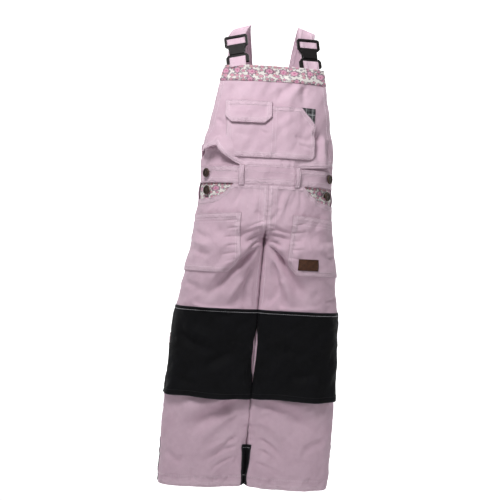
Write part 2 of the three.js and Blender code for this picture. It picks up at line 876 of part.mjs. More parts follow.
// Each row is the middle of the strap's underside and the direction across it.
function makeStrap(side, word, buckle) {
  const tilt = crestTilt * degrees;
  const flat = new THREE.Vector3(1, 0, 0);
  const shoulder = new THREE.Vector3(Math.cos(tilt), 0, -side * Math.sin(tilt));
  const across = new THREE.Vector3(1, 0, 0).applyQuaternion(buckle.quaternion);
  const inBuckle = (v, w) => new THREE.Vector3(0, v, w).applyMatrix4(buckle.matrix);
  const behind = -sleeveDeep - strapRoom - strapThick;
  const rows = [
    [new THREE.Vector3(side * 42, 70, -150), flat],
    [new THREE.Vector3(side * 43.5, 68, -126), flat],
    [new THREE.Vector3(side * 48, 63, -92), flat],
    [new THREE.Vector3(side * 53, 54, -56), flat],
    [new THREE.Vector3(side * 57, 41, -27), flat.clone().lerp(shoulder, 0.5)],
    [new THREE.Vector3(side * 60, 26, -8), shoulder],
    [new THREE.Vector3(side * crestX, crestHalfFlat, 0), shoulder],
    [new THREE.Vector3(side * crestX, -crestHalfFlat, 0), shoulder],
    [inBuckle(frameTop + 12, behind).lerp(new THREE.Vector3(side * crestX, -20, -4), 0.5),
     shoulder.clone().lerp(across, 0.4)],
    [inBuckle(frameTop + 2, behind - 0.4), across],
    [inBuckle(frameBottom, behind), across],
    [inBuckle(2, behind).add(new THREE.Vector3(side * 3, 0, 0)), across],
    tailRow(side, 76),
    tailRow(side, 90),
    tailRow(side, tailDrop),
  ];
  const strap = sheet([-0.5, 0.5], rows.length - 1, 0, strapThick, (column, row, off) => {
    const index = Math.round(row * (rows.length - 1));
    const [middle, wide] = rows[index];
    const before = rows[Math.max(index - 1, 0)][0];
    const after = rows[Math.min(index + 1, rows.length - 1)][0];
    const out = after.clone().sub(before).cross(wide).normalize();
    return middle.clone().addScaledVector(wide, column * strapWide).addScaledVector(out, off);
  });
  add(word + "_shoulder_strap", strap, pinkTwill());
}

makeBib();
makeChestPocket();
makeBack();
for (const [side, word] of [[-1, "right"], [1, "left"]]) {
  makeTrouserHalf(side, word);
  makeThighPocket(side, word);
  makeKneePatch(side, word);
  makeHeelPanel(side, word);
  makeSeatPocket(side, word);
  makeLoop(word + "_front_belt_loop", FRONT, side * frontLoopX);
  makeLoop(word + "_back_belt_loop", BACK, side * backLoopX);
}
makeLoop("centre_back_belt_loop", BACK, 0);
makeLabel();
makeToolPocket();
makeStrap(-1, "right", makeBuckle(-1, "right", -69, 60, 12));
makeStrap(1, "left", makeBuckle(1, "left", 66, 60, 2));

export default overalls;
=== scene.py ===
"""Child's bib overalls: the visible cloth, stitching, webbing, buckles and buttons.

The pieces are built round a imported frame. Sizes of the garment are in millimetres, as drops below
the shoulder crests and distances from the centre plane. Every mesh is made in metres, in the
frame's own axes: +Z up, front facing -Y, and the wearer's left towards +X.
"""

import json
import math

import bpy
import numpy as np
from mathutils import Matrix, Vector


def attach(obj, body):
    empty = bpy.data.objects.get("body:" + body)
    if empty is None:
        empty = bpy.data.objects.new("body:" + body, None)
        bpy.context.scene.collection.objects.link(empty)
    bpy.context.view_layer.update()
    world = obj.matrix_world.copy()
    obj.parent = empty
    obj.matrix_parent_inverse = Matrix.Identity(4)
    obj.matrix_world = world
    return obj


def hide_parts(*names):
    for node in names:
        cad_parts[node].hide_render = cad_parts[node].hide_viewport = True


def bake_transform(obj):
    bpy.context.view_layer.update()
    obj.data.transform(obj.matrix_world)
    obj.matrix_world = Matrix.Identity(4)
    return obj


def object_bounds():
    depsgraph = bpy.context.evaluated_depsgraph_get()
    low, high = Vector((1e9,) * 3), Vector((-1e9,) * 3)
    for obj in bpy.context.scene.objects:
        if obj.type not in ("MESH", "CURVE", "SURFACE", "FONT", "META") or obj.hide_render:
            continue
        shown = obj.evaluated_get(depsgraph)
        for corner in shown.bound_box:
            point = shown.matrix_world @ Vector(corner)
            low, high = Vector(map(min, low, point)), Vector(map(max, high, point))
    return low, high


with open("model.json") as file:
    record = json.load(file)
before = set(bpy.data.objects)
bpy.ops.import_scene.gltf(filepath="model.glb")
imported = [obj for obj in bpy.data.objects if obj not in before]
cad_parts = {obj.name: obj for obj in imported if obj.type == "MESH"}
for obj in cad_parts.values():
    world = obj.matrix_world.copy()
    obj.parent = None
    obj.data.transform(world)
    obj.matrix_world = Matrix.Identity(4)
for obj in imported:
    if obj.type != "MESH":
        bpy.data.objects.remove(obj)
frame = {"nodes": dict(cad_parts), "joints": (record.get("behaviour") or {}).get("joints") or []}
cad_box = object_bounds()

bl_info = {
    "name": "Bib Overalls",
    "version": (1, 0, 0),
    "blender": (4, 5, 0),
    "location": "3D View > Sidebar > Overalls",
    "description": "Builds a child's bib overalls piece by piece round a packed frame",
    "category": "Add Mesh",
}

MM = 0.001
FRONT = -1
BACK = 1
SIDES = ((-1, "right"), (1, "left"))

# ---- Cloth layers, as heights off the middle of the trouser cloth ----
CLOTH = (-0.5, 0.9)
ON_CLOTH = 1.15
ON_PANEL = ON_CLOTH + 0.3
PATCH = 1.4
LINING = (-3.3, -2.3)
BAG = (-5.5, -4.5)
SEAM_GAP = 0.3  # left open between two panels that meet

# ---- Stitching ----
EDGE_ROW = 2.2  # first row of stitches, in from an edge
SECOND_ROW = 8.2
THREAD_LIFT = 0.15  # how far a stitch lies above its cloth
THREAD_SIDES = 4
# One stitch from end to end: share of its length, height and width in thread radii
STITCH_FORM = ((0.0, -0.6, 0.45), (0.28, 0.25, 1.0), (0.72, 0.25, 1.0), (1.0, -0.6, 0.45))

# ---- Heights, as drops below the shoulder crests ----
BIB_TOP = 80
BAND_BOTTOM = 108
WAIST_TOP = 268
WAIST_BOTTOM = 299
CROTCH_START = 350
CROTCH = 402
SPLIT = (372, 418)  # where the cloth between the legs parts
KNEE_TOP = 530
KNEE_BOTTOM = 693
HEEL_TOP = 784
HEM = 866
HEM_LIFT = 9
LEG_SWAY = -14

# ---- Clothed body: drop, half width, depth in front, depth behind, half the leg gap ----
ROUNDNESS = 2.5
INNER_SQUARENESS = 0.2  # power of the curve in from the inseam, where the cloth hangs flat
STATIONS = np.array([
    (60, 114, 64, 60, 1.3),
    (110, 116, 68, 64, 1.3),
    (170, 120, 76, 68, 1.3),
    (235, 123.5, 82, 74, 1.3),
    (300, 124.5, 84, 82, 1.3),
    (360, 129, 86, 93, 1.3),
    (402, 133, 87, 92, 0.8),
    (450, 139.5, 77, 80, 0.7),
    (515, 149, 62, 64, 0.8),
    (540, 153.5, 57, 58, 0.8),
    (605, 157, 50, 50, 0.9),
    (685, 160, 46, 46, 0.8),
    (735, 161.5, 43, 43, 0.7),
    (784, 161.5, 41, 41, 0.8),
    (866, 159, 38, 38, 1.2),
])

# ---- Bib, pockets, label and patches ----
# Corners of the two HALF lines are (drop, half width); of the others (distance from centre, drop).
# Shares run from 0 at the inseam to 1 at the side seam.
TO_SEAM = 0.985  # where patches, facings and stitches stop short of a side seam
BIB_HALF = ((BIB_TOP, 91), (BAND_BOTTOM, 97), (228, 122))
BIB_HALF_LOW = 122
BIB_CENTRE_HALF = 49.4
BIB_FREE_EDGE = (
    (-122, 240), (-108, 237), (-98, 233), (-91, 230.5), (-86, 238), (-77, 249), (-64, 260),
    (-50, 267), (50, 267), (100, 262), (122, 254),
)
WING_TOP = ((50, 250), (84, 236), (130, 226))
WING_UNDER = 6.0  # how far the back panel's wings lie under the bib
CHEST_HALF = 79.5
CHEST_TOP = 154
CHEST_BOTTOM = 250
CHEST_CORNER = 12
CHEST_DIVIDER = 4
PEN_CUT = ((52, 154), (79.5, 184))
FLAP_REACH = (-84, -1)
FLAP_TOP = 146
FLAP_BOTTOM = 187
FLAP_CHAMFER = 12
BACK_TOP = 122
BACK_HALF = ((122, 62), (167, 74), (214, 106), (225, 124), (236, 200))
HAND_INNER = 64
HAND_DROP = 330
FACING_BOTTOM = 345
BAG_REACH = (57, 99)
BAG_BOTTOM = 400
THIGH_INNER = 46
THIGH_TOP = 352
THIGH_BOTTOM = 463
THIGH_CHAMFER = 17
THIGH_MOUTH = 2.6
LABEL_X = 82
LABEL_DROP = 442
LABEL_SIZE = (34, 20)
KNEE_FLARE = 11.0
KNEE_SHARES = (0.06, TO_SEAM)
KNEE_LENS = 0.13
SEAT_REACH = (34, 108)
SEAT_DROPS = (338, 436)
SEAT_POINT = 14
TOOL_SHARES = (0.72, TO_SEAM)
TOOL_DROPS = (584, 686)
TOOL_TRIM = 23
HEEL_WRAP = 0.15
LOOP_WIDE = 9
LOOP_ROOM = 2.4
FRONT_LOOP_X = 50
BACK_LOOP_X = 78

# ---- Straps and buckles; in a buckle, u runs across, v up the strap and w out from the chest ----
STRAP_WIDE = 33
STRAP_THICK = 2.0
CREST_X = 61
CREST_HALF_FLAT = 12
CREST_TILT = 18
TAIL_X = 75
TAIL_DROPS = (76, 90, 106)
TAIL_OFF = -12.4
BUCKLE_SLOPE = 20
BUCKLE_YAW = 15
BUCKLES = {"right": (-69, -48, -60, 12), "left": (66, -48, -60, 2)}
FRAME_TOP = 41.4
FRAME_BOTTOM = 18
WINDOW = (22.6, 36.8)
STRAP_BEHIND = -7.9
WEB_HALF = 16.8
WEB_THICK = 1.3
WEB_PATH = (  # v and w places, like the tab's
    (WINDOW[0] + 0.5, -4.3), (WINDOW[0] + 0.6, 0.5), (WINDOW[0] + 1.6, 1.0),
    (WINDOW[1] - 1.6, 1.0), (WINDOW[1] - 0.6, 0.5), (WINDOW[1] - 0.5, -4.3),
)
TAB_HALF = 14.8
TAB_THICK = 1.2
TAB_PATH = (
    (-25, -2.9), (-16, -2.7), (-7, -2.6), (-5.6, -1.2), (-5.4, 0.0),
    (-5.6, 1.4), (-7, 2.5), (-14, 2.6), (-18.6, 2.5), (-25, 2.2),
)
STRAP_CROWN = 0.25  # how much the webbing is thicker along its middle

# ---- Buttons, along their axis from the middle of the cloth ----
CAP_RADIUS = 8.5
BUTTON_SEATS = {"waist": 1.2, "lower": -2.0}


# =====================================================================================
# Form of the clothed body
# =====================================================================================
def curve_through(places, values):
    """A smooth curve through points; each slope is the mean of the slopes on its two sides."""
    secants = np.diff(values) / np.diff(places)
    slopes = np.concatenate([secants[:1], (secants[:-1] + secants[1:]) / 2, secants[-1:]])

    def at(place):
        place = np.clip(place, places[0], places[-1])
        k = np.clip(np.searchsorted(places, place, side="right") - 1, 0, len(places) - 2)
        step = places[k + 1] - places[k]
        t = (place - places[k]) / step
        rise = t * t * (3 - 2 * t)
        lean = slopes[k] * (t**3 - 2 * t**2 + t) + slopes[k + 1] * (t**3 - t**2)
        return values[k] * (1 - rise) + values[k + 1] * rise + step * lean

    return at


wide_at, front_at, back_at, part_at = (
    curve_through(STATIONS[:, 0], STATIONS[:, column]) for column in (1, 2, 3, 4)
)


def rounded(value):
    return np.sign(value) * np.abs(value) ** (2 / ROUNDNESS)


def smooth(value, low, high):
    t = np.clip((value - low) / (high - low), 0, 1)
    return t * t * (3 - 2 * t)


def gone_along(points):
    """Distance along a line at each of its points."""
    return np.concatenate([[0], np.cumsum(np.linalg.norm(np.diff(points, axis=0), axis=-1))])


def read_between(place, places, rows):
    """Rows of numbers, read at places between them."""
    return np.stack([np.interp(place, places, row) for row in rows.T], axis=-1)


def broken(corners):
    """A line through listed corners."""
    places, values = zip(*corners)
    return lambda place: np.interp(place, places, values)


def sway_at(drop):
    return LEG_SWAY * np.maximum(0, (drop - CROTCH_START) / (HEM - CROTCH_START))


def depth_at(face, drop):
    return front_at(drop) if face == FRONT else back_at(drop)


def turn_at(x, drop):
    """The turn, -1 to 1 from side seam to side seam, at a distance from the centre plane."""
    reach = np.minimum(np.abs(x) / wide_at(drop), 1)
    return np.sign(x) * np.arcsin(reach ** (ROUNDNESS / 2)) / (np.pi / 2)


def leg_reach(share, drop, off=0.0):
    """How far a point of a trouser half is from the centre plane, and its share of the depth."""
    legness = smooth(drop, *SPLIT)
    wide, part = wide_at(drop), part_at(drop)
    half = (wide - part) / 2
    body_angle = share * np.pi / 2
    leg_angle = (share - 0.5) * np.pi
    body_x = (wide + off) * rounded(np.sin(body_angle))
    leg_x = part + half + (half + off) * rounded(np.sin(leg_angle))
    body_y = rounded(np.maximum(np.cos(body_angle), 0))
    outward = smooth(share, 0.1, 0.6)
    power = INNER_SQUARENESS + (2 / ROUNDNESS - INNER_SQUARENESS) * outward
    leg_y = np.maximum(np.cos(leg_angle), 0) ** power
    x = body_x + (leg_x - body_x) * legness
    return x, body_y + (leg_y - body_y) * legness


def share_at(x, drop):
    """The share, 0 at the inseam to 1 at the side seam, at a distance from the centre plane."""
    low, high = np.zeros_like(x + drop), np.ones_like(x + drop)
    for _ in range(24):
        middle = (low + high) / 2
        short = leg_reach(middle, drop)[0] < x
        low, high = np.where(short, middle, low), np.where(short, high, middle)
    return low


# =====================================================================================
# Folds
# =====================================================================================
def lattice_noise(x, y, seed):
    """Smooth noise between -1 and 1 on a unit lattice, the same at every run."""
    column, row = np.floor(x), np.floor(y)
    fx, fy = x - column, y - row
    fx, fy = fx * fx * (3 - 2 * fx), fy * fy * (3 - 2 * fy)

    def corner(i, j):
        value = np.sin((column + i) * 127.1 + (row + j) * 311.7 + seed * 74.7) * 43758.5453
        return 2 * (value - np.floor(value)) - 1

    top = corner(0, 0) * (1 - fx) + corner(1, 0) * fx
    bottom = corner(0, 1) * (1 - fx) + corner(1, 1) * fx
    return top * (1 - fy) + bottom * fy


# Each fold: x and drop at its start, x and drop at its end, bend, half width, height, sharpness.
# Height is positive for a ridge; sharpness 1 is a rounded fold and 2 a crisp crease.
FRONT_FOLDS = [
    # deep valleys from the crotch to the outer knee, with full ridges above them
    (-6, 414, -104, 522, 8, 8, -8.0, 1),
    (-20, 404, -100, 500, 6, 13, 4.6, 1),
    (5, 412, 84, 514, -7, 8, -8.0, 1),
    (20, 402, 94, 492, -5, 13, 4.6, 1),
    (-2, 410, -46, 462, 3, 4, -3.5, 2),
    (2, 408, 42, 455, -3, 4, -4.0, 2),
    # inner thighs: soft hollows and slight ridges running down
    (-10, 440, -26, 520, 2, 8, -2.5, 1),
    (12, 436, 30, 520, -2, 8, -2.5, 1),
    (-30, 470, -62, 526, 3, 9, 3.0, 1),
    (34, 468, 66, 524, -3, 9, 2.6, 1),
    # creases that gather at the crotch
    (-2, 366, -40, 384, 2, 3.0, -1.6, 1),
    (-2, 376, -50, 398, 2, 3.2, -2.2, 1),
    (-3, 388, -44, 414, 2, 3.0, -2.4, 1),
    (-4, 400, -40, 430, 2, 3.0, -2.0, 1),
    (2, 372, 34, 384, -1, 3.0, -1.6, 1),
    (2, 381, 56, 389, -2, 3.2, -2.4, 1),
    (2, 390, 48, 400, -2, 3.0, -2.6, 1),
    (3, 400, 40, 416, -2, 3.0, -2.4, 1),
    (-16, 384, 16, 381, 0, 2.2, -1.6, 1),
    (-14, 391, 18, 388, 0, 2.2, -2.0, 1),
    (-12, 398, 15, 396, 0, 2.2, -2.0, 1),
    (-10, 405, 12, 404, 0, 2.2, -1.8, 1),
    (-22, 345, 2, 372, 2, 5, -2.0, 1),
    (24, 340, 1, 370, -2, 5, -1.8, 1),
    # front rise: long soft pleats from the waist
    (28, 304, 20, 352, 2, 6, -1.6, 1),
    (-26, 305, -18, 345, 0, 6, 1.4, 1),
    (42, 310, 34, 352, 2, 3, -1.3, 2),
    (-45, 303, -60, 344, 2, 4, -1.4, 1),
    (58, 305, 64, 348, 2, 4, -1.2, 1),
    # thigh pockets: puckers along the inner edges and slack across the pocket
    (-48, 366, -76, 369, 1, 2.6, -1.5, 2),
    (-48, 380, -72, 384, 1, 2.6, -1.8, 2),
    (-48, 396, -78, 400, 1, 2.6, -1.9, 2),
    (-48, 411, -74, 416, 1, 2.6, -1.9, 2),
    (-48, 425, -80, 432, 1, 2.6, -1.8, 2),
    (-50, 437, -74, 445, 1, 2.6, -1.4, 2),
    (47, 370, 74, 366, 1, 2.6, -1.6, 2),
    (47, 385, 78, 380, 1, 2.6, -1.8, 2),
    (47, 400, 72, 397, 1, 2.6, -1.7, 2),
    (47, 415, 76, 414, 1, 2.6, -1.9, 2),
    (48, 430, 72, 431, 1, 2.6, -1.6, 2),
    (-128, 388, -84, 401, 5, 7, -2.2, 1),
    (-132, 420, -92, 433, 4, 6, -2.0, 1),
    (-130, 405, -96, 416, 3, 5, 1.6, 1),
    (130, 392, 96, 398, -4, 6, -1.9, 1),
    (134, 424, 100, 417, -4, 5, -1.8, 1),
    (88, 372, 118, 380, 3, 6, 1.6, 1),
    # cloth that settles on the top of the knee patches
    (-126, 523, -20, 524, 9, 4.5, 3.0, 1),
    (30, 524, 120, 520, 5, 4.5, 2.6, 1),
    (-140, 480, -84, 500, 5, 8, -2.2, 1),
    (144, 486, 100, 470, 5, 8, -2.0, 1),
    (146, 505, 116, 512, 3, 5, -1.8, 1),
    # knee patches: broad slack folds
    (-146, 574, -72, 612, 6, 9, -3.0, 1),
    (-136, 560, -60, 596, 6, 11, 2.2, 1),
    (-90, 640, -28, 610, -5, 9, -2.6, 1),
    (-84, 655, -30, 628, -4, 8, 1.8, 1),
    (40, 590, 104, 616, 5, 10, -2.2, 1),
    (150, 560, 96, 584, 5, 9, -2.0, 1),
    (60, 650, 130, 640, 5, 9, -2.4, 1),
    (-144, 660, -96, 672, 3, 7, -2.0, 1),
    # lower legs: folds that fall outward from the inner knee
    (-20, 700, -118, 776, 10, 12, -6.0, 1),
    (-40, 700, -140, 742, 8, 14, 4.5, 1),
    (-22, 722, -104, 800, 9, 10, 3.6, 1),
    (-18, 768, -62, 806, 4, 5, -3.0, 1),
    (-20, 786, -84, 826, 5, 5, -2.6, 1),
    (-22, 806, -70, 842, 4, 4, -2.2, 1),
    (-30, 776, -92, 812, 4, 6, 2.2, 1),
    (18, 704, 116, 752, -9, 12, -4.8, 1),
    (30, 700, 134, 724, -6, 12, 3.8, 1),
    (16, 735, 82, 790, -6, 10, 3.2, 1),
    (16, 770, 70, 812, -4, 5, -2.8, 1),
    (18, 792, 62, 820, -4, 4.5, -2.4, 1),
    (16, 815, 76, 846, -4, 4, -2.0, 1),
    (150, 770, 96, 800, 5, 8, -2.4, 1),
    (-150, 800, -110, 824, 4, 7, -2.0, 1),
    # hem: short pleats
    (-98, 828, -94, 866, 1, 3.4, -1.8, 1),
    (-84, 834, -82, 866, 1, 3.0, -1.6, 1),
    (-70, 838, -70, 866, 1, 3.0, -1.5, 1),
    (-56, 842, -58, 866, 1, 3.0, -1.3, 1),
    (-128, 838, -126, 866, 1, 4.0, -1.4, 1),
    (52, 840, 54, 866, 1, 3.4, -1.5, 1),
    (86, 836, 88, 866, 1, 3.4, -1.3, 1),
    (122, 838, 122, 866, 1, 4.0, -1.5, 1),
    # bib: soft drapes from the top band and slack at the sides of the pocket
    (38, 110, 4, 152, 3, 7, -1.8, 1),
    (52, 110, 22, 156, 3, 8, 1.8, 1),
    (60, 112, 58, 150, 2, 6, -1.5, 1),
    (-36, 110, -22, 146, 2, 7, -1.2, 1),
    (-70, 112, -96, 190, 4, 8, -1.6, 1),
    (-100, 178, -82, 196, 2, 4, -1.4, 1),
    (92, 196, 88, 262, 3, 5, -3.2, 1),
    (100, 200, 100, 262, 2, 5, 3.2, 1),
    (112, 206, 106, 258, -2, 4, -2.8, 1),
    (72, 196, 98, 214, 2, 4, -1.6, 1),
    (40, 206, 76, 214, 3, 5, -1.3, 1),
    (48, 222, 80, 226, 2, 4, -1.1, 1),
    (-66, 204, -30, 210, 3, 6, -1.1, 1),
    (-20, 200, -2, 206, 2, 3, -0.9, 1),
    (-88, 214, -104, 238, 2, 6, 2.6, 1),
    (-60, 250, -40, 262, 2, 4, -1.2, 1),
    (20, 252, 26, 268, 0, 3, -1.0, 1),
    (36, 252, 38, 270, 0, 3, -1.0, 1),
]
BACK_FOLDS = [
    # back yoke and panel
    (-40, 150, -60, 250, 6, 10, -2.0, 1),
    (36, 150, 52, 250, -6, 10, -2.2, 1),
    (0, 140, 4, 240, 4, 12, 1.8, 1),
    (-90, 232, -50, 262, 4, 5, -2.0, 1),
    (92, 234, 54, 262, -4, 5, -2.0, 1),
    # seat: smiles under the seat and pulls towards the centre seam
    (-2, 396, -86, 446, 10, 8, -5.0, 1),
    (-4, 416, -74, 478, 8, 8, -4.0, 1),
    (2, 394, 84, 444, -10, 8, -5.0, 1),
    (4, 414, 72, 476, -8, 8, -4.0, 1),
    (-1, 372, -36, 392, 3, 3, -1.8, 2),
    (1, 374, 38, 396, -3, 3, -1.8, 2),
    (-30, 450, -100, 500, 8, 9, 3.0, 1),
    (32, 450, 98, 502, -8, 9, 3.0, 1),
    # behind the knees: stacked cross folds
    (-18, 560, -132, 548, -8, 7, -4.0, 1),
    (-16, 584, -120, 574, -7, 6, -3.6, 1),
    (-22, 572, -126, 562, -7, 6, 3.0, 1),
    (-18, 610, -104, 622, 6, 7, -3.0, 1),
    (18, 558, 134, 552, 8, 7, -4.0, 1),
    (16, 582, 126, 590, 7, 6, -3.6, 1),
    (20, 570, 130, 571, 7, 6, 3.0, 1),
    (18, 612, 120, 632, -6, 7, -3.0, 1),
    # lower legs
    (-20, 690, -120, 744, 8, 10, -3.6, 1),
    (20, 690, 122, 740, -8, 10, -3.6, 1),
    (-26, 740, -110, 778, 5, 8, 2.4, 1),
    (24, 742, 112, 776, -5, 8, 2.4, 1),
    (-60, 830, -62, 866, 1, 4, -1.4, 1),
    (-110, 832, -108, 866, 1, 4, -1.4, 1),
    (60, 832, 62, 866, 1, 4, -1.4, 1),
    (112, 830, 110, 866, 1, 4, -1.4, 1),
]


def fold_height(fold, x, drop):
    x0, drop0, x1, drop1, bend, width, height, sharpness = fold
    along = np.array([x1 - x0, drop1 - drop0])
    length = np.hypot(*along)
    along = along / length
    t = ((x - x0) * along[0] + (drop - drop0) * along[1]) / length
    inside = np.clip(t, 0, 1)
    across = (drop - drop0) * along[0] - (x - x0) * along[1] - bend * 4 * inside * (1 - inside)
    past = np.maximum(0, np.maximum(-t, t - 1)) * length
    spread = np.hypot(across, past) / (width * (0.7 + 0.6 * inside))
    profile = np.exp(-(spread**2)) if sharpness == 1 else np.exp(-1.5 * spread)
    taper = smooth(t, -0.02, 0.2) * (1 - smooth(t, 0.62, 1.02))
    return height * profile * taper


def folds(face, x, drop):
    """How far the cloth stands off its smooth form, in front or behind."""
    height = np.zeros_like(x + drop)
    for fold in FRONT_FOLDS if face == FRONT else BACK_FOLDS:
        height = height + fold_height(fold, x, drop)
    seed = 3 if face == FRONT else 11
    # broad slack, then drawn wrinkles, then a fine crinkle
    height = height + 2.2 * lattice_noise(x / 34, drop / 52, seed)
    height = height + 1.0 * lattice_noise((x + 0.5 * drop) / 13, (drop - 0.4 * x) / 24, seed + 1)
    fine = 0.30 * lattice_noise((x - 0.3 * drop) / 5.5, (drop + 0.6 * x) / 9, seed + 2)
    height = height + fine * (0.4 + 0.6 * smooth(drop, 300, 360))
    if face == FRONT:
        # puckers beside the thigh pockets, between the lower legs and under the waistband
        for middle in (-52, 52):
            beside = np.exp(-((np.abs(x - middle) / 9) ** 2))
            beside = beside * smooth(drop, 350, 362) * (1 - smooth(drop, 444, 462))
            height = height + 0.9 * beside * lattice_noise(x / 22, drop / 6.5, seed + 3)
        low = smooth(drop, 700, 720) * (1 - smooth(drop, 780, 800)) * np.exp(-((x / 26) ** 2))
        height = height + 0.8 * low * lattice_noise(x / 20, drop / 7, seed + 4)
        waist = smooth(drop, 300, 306) * (1 - smooth(drop, 345, 365))
        height = height + 0.7 * waist * lattice_noise(x / 7, drop / 26, seed + 5)
    hem = smooth(drop, HEM - 30, HEM - 18)
    height = height + 0.8 * hem * lattice_noise((x + 0.6 * drop) / 8, drop / 24, seed + 6)
    # the inner thighs lie back between the two deep valleys under the crotch
    hollow = smooth(drop, 412, 470) * (1 - smooth(drop, 505, 534))
    width = 12 + 0.42 * np.maximum(drop - 412, 0)
    height = height - 4.5 * hollow * (1 - smooth(np.abs(x), width - 14, width + 6))
    scale = bpy.context.scene.overalls_sizes.fold_scale
    return scale * height


def side_ripple(side, drop):
    """Small ripples in the outline, shared by the front and the back of a side seam."""
    ripple = 1.5 * lattice_noise(drop / 21, 0 * drop + side, 21)
    ripple = ripple + 0.7 * lattice_noise(drop / 8, 0 * drop + side, 22)
    return ripple * smooth(drop, 120, 200)


def inseam_ripple(side, drop):
    return 0.5 * lattice_noise(drop / 7, 0 * drop + side, 23) * smooth(drop, 420, 470)


# =====================================================================================
# Laying pieces on the form; each returns points in metres
# =====================================================================================
def stack(x, y, z):
    return np.stack(np.broadcast_arrays(x, y, z), axis=-1) * MM


def on_torso(face, turn, drop, off):
    angle = turn * np.pi / 2
    x = wide_at(drop) * rounded(np.sin(angle))
    middle = smooth(1 - np.abs(turn), 0, 0.16)
    lift = middle * folds(face, x, drop) + (1 - middle) * side_ripple(np.sign(x), drop) + off
    x = (wide_at(drop) + lift) * rounded(np.sin(angle))
    y = (depth_at(face, drop) + lift) * rounded(np.maximum(np.cos(angle), 0))
    return stack(x, face * np.maximum(y, 0.05), -drop)


def on_leg(side, face, share, drop, off):
    reach, _ = leg_reach(share, drop)
    outer = smooth(1 - share, 0, 0.12)
    legness = smooth(drop, *SPLIT)
    inner = 1 - (1 - smooth(share, 0, 0.14)) * legness
    ripple = (1 - outer) * side_ripple(side, drop) + (1 - inner) * inseam_ripple(side, drop)
    lift = outer * inner * folds(face, side * reach, drop) + ripple + off
    x, deep = leg_reach(share, drop, lift)
    y = (depth_at(face, drop) + lift) * deep
    return stack(side * np.maximum(x, 0.1) + sway_at(drop), face * np.maximum(y, 0.05), -drop)


def torso_at_x(face):
    return lambda x, drop, off: on_torso(face, turn_at(x, drop), drop, off)


def leg_at_x(side, face):
    return lambda x, drop, off: on_leg(side, face, share_at(x, drop), drop, off)


# =====================================================================================
# Meshes
# =====================================================================================
def link_mesh(name, points, faces, attributes=()):
    mesh = bpy.data.meshes.new(name)
    mesh.from_pydata(points.tolist(), [], faces.tolist())
    for key, values in attributes:
        kind = "FLOAT" if values.ndim == 1 else "FLOAT_VECTOR"
        layer = mesh.attributes.new(key, kind, "POINT")
        layer.data.foreach_set("value" if values.ndim == 1 else "vector", values.ravel())
    mesh.validate()
    mesh.update()
    piece = bpy.data.objects.new(name, mesh)
    bpy.context.scene.collection.objects.link(piece)
    mesh.polygons.foreach_set("use_smooth", [True] * len(mesh.polygons))
    return piece


def facing_out(points, faces):
    """Turns the faces of a closed mesh outward."""
    a, b, c = (points[faces[:, k]] for k in (0, 1, 2))
    d = points[faces[:, 3]]
    volume = (a * np.cross(b, c)).sum() + (a * np.cross(c, d)).sum()
    return faces if volume > 0 else faces[:, ::-1]


def grid_faces(columns, rows, first=0):
    index = first + np.arange(columns * rows).reshape(columns, rows)
    corners = (index[:-1, :-1], index[1:, :-1], index[1:, 1:], index[:-1, 1:])
    return np.stack(corners, axis=-1).reshape(-1, 4)


def border(columns, rows):
    """Indices round the edge of a grid, once round."""
    index = np.arange(columns * rows).reshape(columns, rows)
    return np.concatenate([index[:, 0], index[-1, 1:], index[-2::-1, -1], index[0, -2:0:-1]])


def cloth_coordinates(outer, sewn):
    """Distances along the cloth in metres, and the distance to the nearest sewn edge."""
    across = np.linalg.norm(np.diff(outer, axis=0), axis=-1)
    across = np.concatenate([np.zeros((1, outer.shape[1])), np.cumsum(across, axis=0)])
    down = np.linalg.norm(np.diff(outer, axis=1), axis=-1)
    down = np.concatenate([np.zeros((outer.shape[0], 1)), np.cumsum(down, axis=1)], axis=1)
    gaps = {
        "l": across,
        "r": across[-1:] - across,
        "t": down,
        "b": down[:, -1:] - down,
    }
    edge = np.full(across.shape, 0.1)
    for side in sewn:
        edge = np.minimum(edge, gaps[side])
    cloth = np.stack([across - across[-1:] / 2, down.mean(0) + 0 * down, 0 * down], axis=-1)
    return cloth, edge


def shell(name, lay, columns, rows, inner, outer, sewn="lrtb"):
    """A closed piece of cloth with rounded edges. lay gets the column, the row and a height."""
    u, v = np.meshgrid(columns, rows, indexing="ij")
    heights = [h(u, v) if callable(h) else h + 0 * u for h in (inner, outer)]
    inside, outside = (lay(u, v, h) for h in heights)
    size = outside.shape[:2]
    cloth, edge = cloth_coordinates(outside, sewn)
    ring = border(*size)
    top, bottom = outside.reshape(-1, 3), inside.reshape(-1, 3)
    centre = (top[ring] + bottom[ring]) / 2
    thick = np.linalg.norm(top[ring] - bottom[ring], axis=-1, keepdims=True)
    forward = np.roll(centre, -1, axis=0) - np.roll(centre, 1, axis=0)
    out = np.cross(forward, top[ring] - bottom[ring])
    out /= np.maximum(np.linalg.norm(out, axis=-1, keepdims=True), 1e-12)
    inward = lay(u, v, heights[1]).mean((0, 1)) - centre
    if (out * inward).sum() > 0:
        out = -out
    rim = centre + out * thick * 0.4
    points = np.concatenate([top, bottom, rim])
    count = len(top)
    around = np.arange(len(ring))
    after = np.roll(around, -1)
    upper = np.stack([ring, ring[after], 2 * count + after, 2 * count + around], axis=-1)
    lower = np.stack(
        [2 * count + around, 2 * count + after, count + ring[after], count + ring], axis=-1
    )
    faces = np.concatenate([
        grid_faces(*size)[:, ::-1],
        grid_faces(*size, first=count),
        upper,
        lower,
    ])
    flat, gap = cloth.reshape(-1, 3), edge.ravel()
    attributes = (
        ("cloth", np.concatenate([flat, flat, flat[ring]])),
        ("edge", np.concatenate([gap, gap, gap[ring]])),
    )
    return link_mesh(name, points, facing_out(points, faces), attributes)


def steps(low, high, spacing):
    """Places from low to high about one spacing apart."""
    return np.linspace(low, high, max(2, int(round(abs(high - low) / spacing)) + 1))


thread_runs = {}


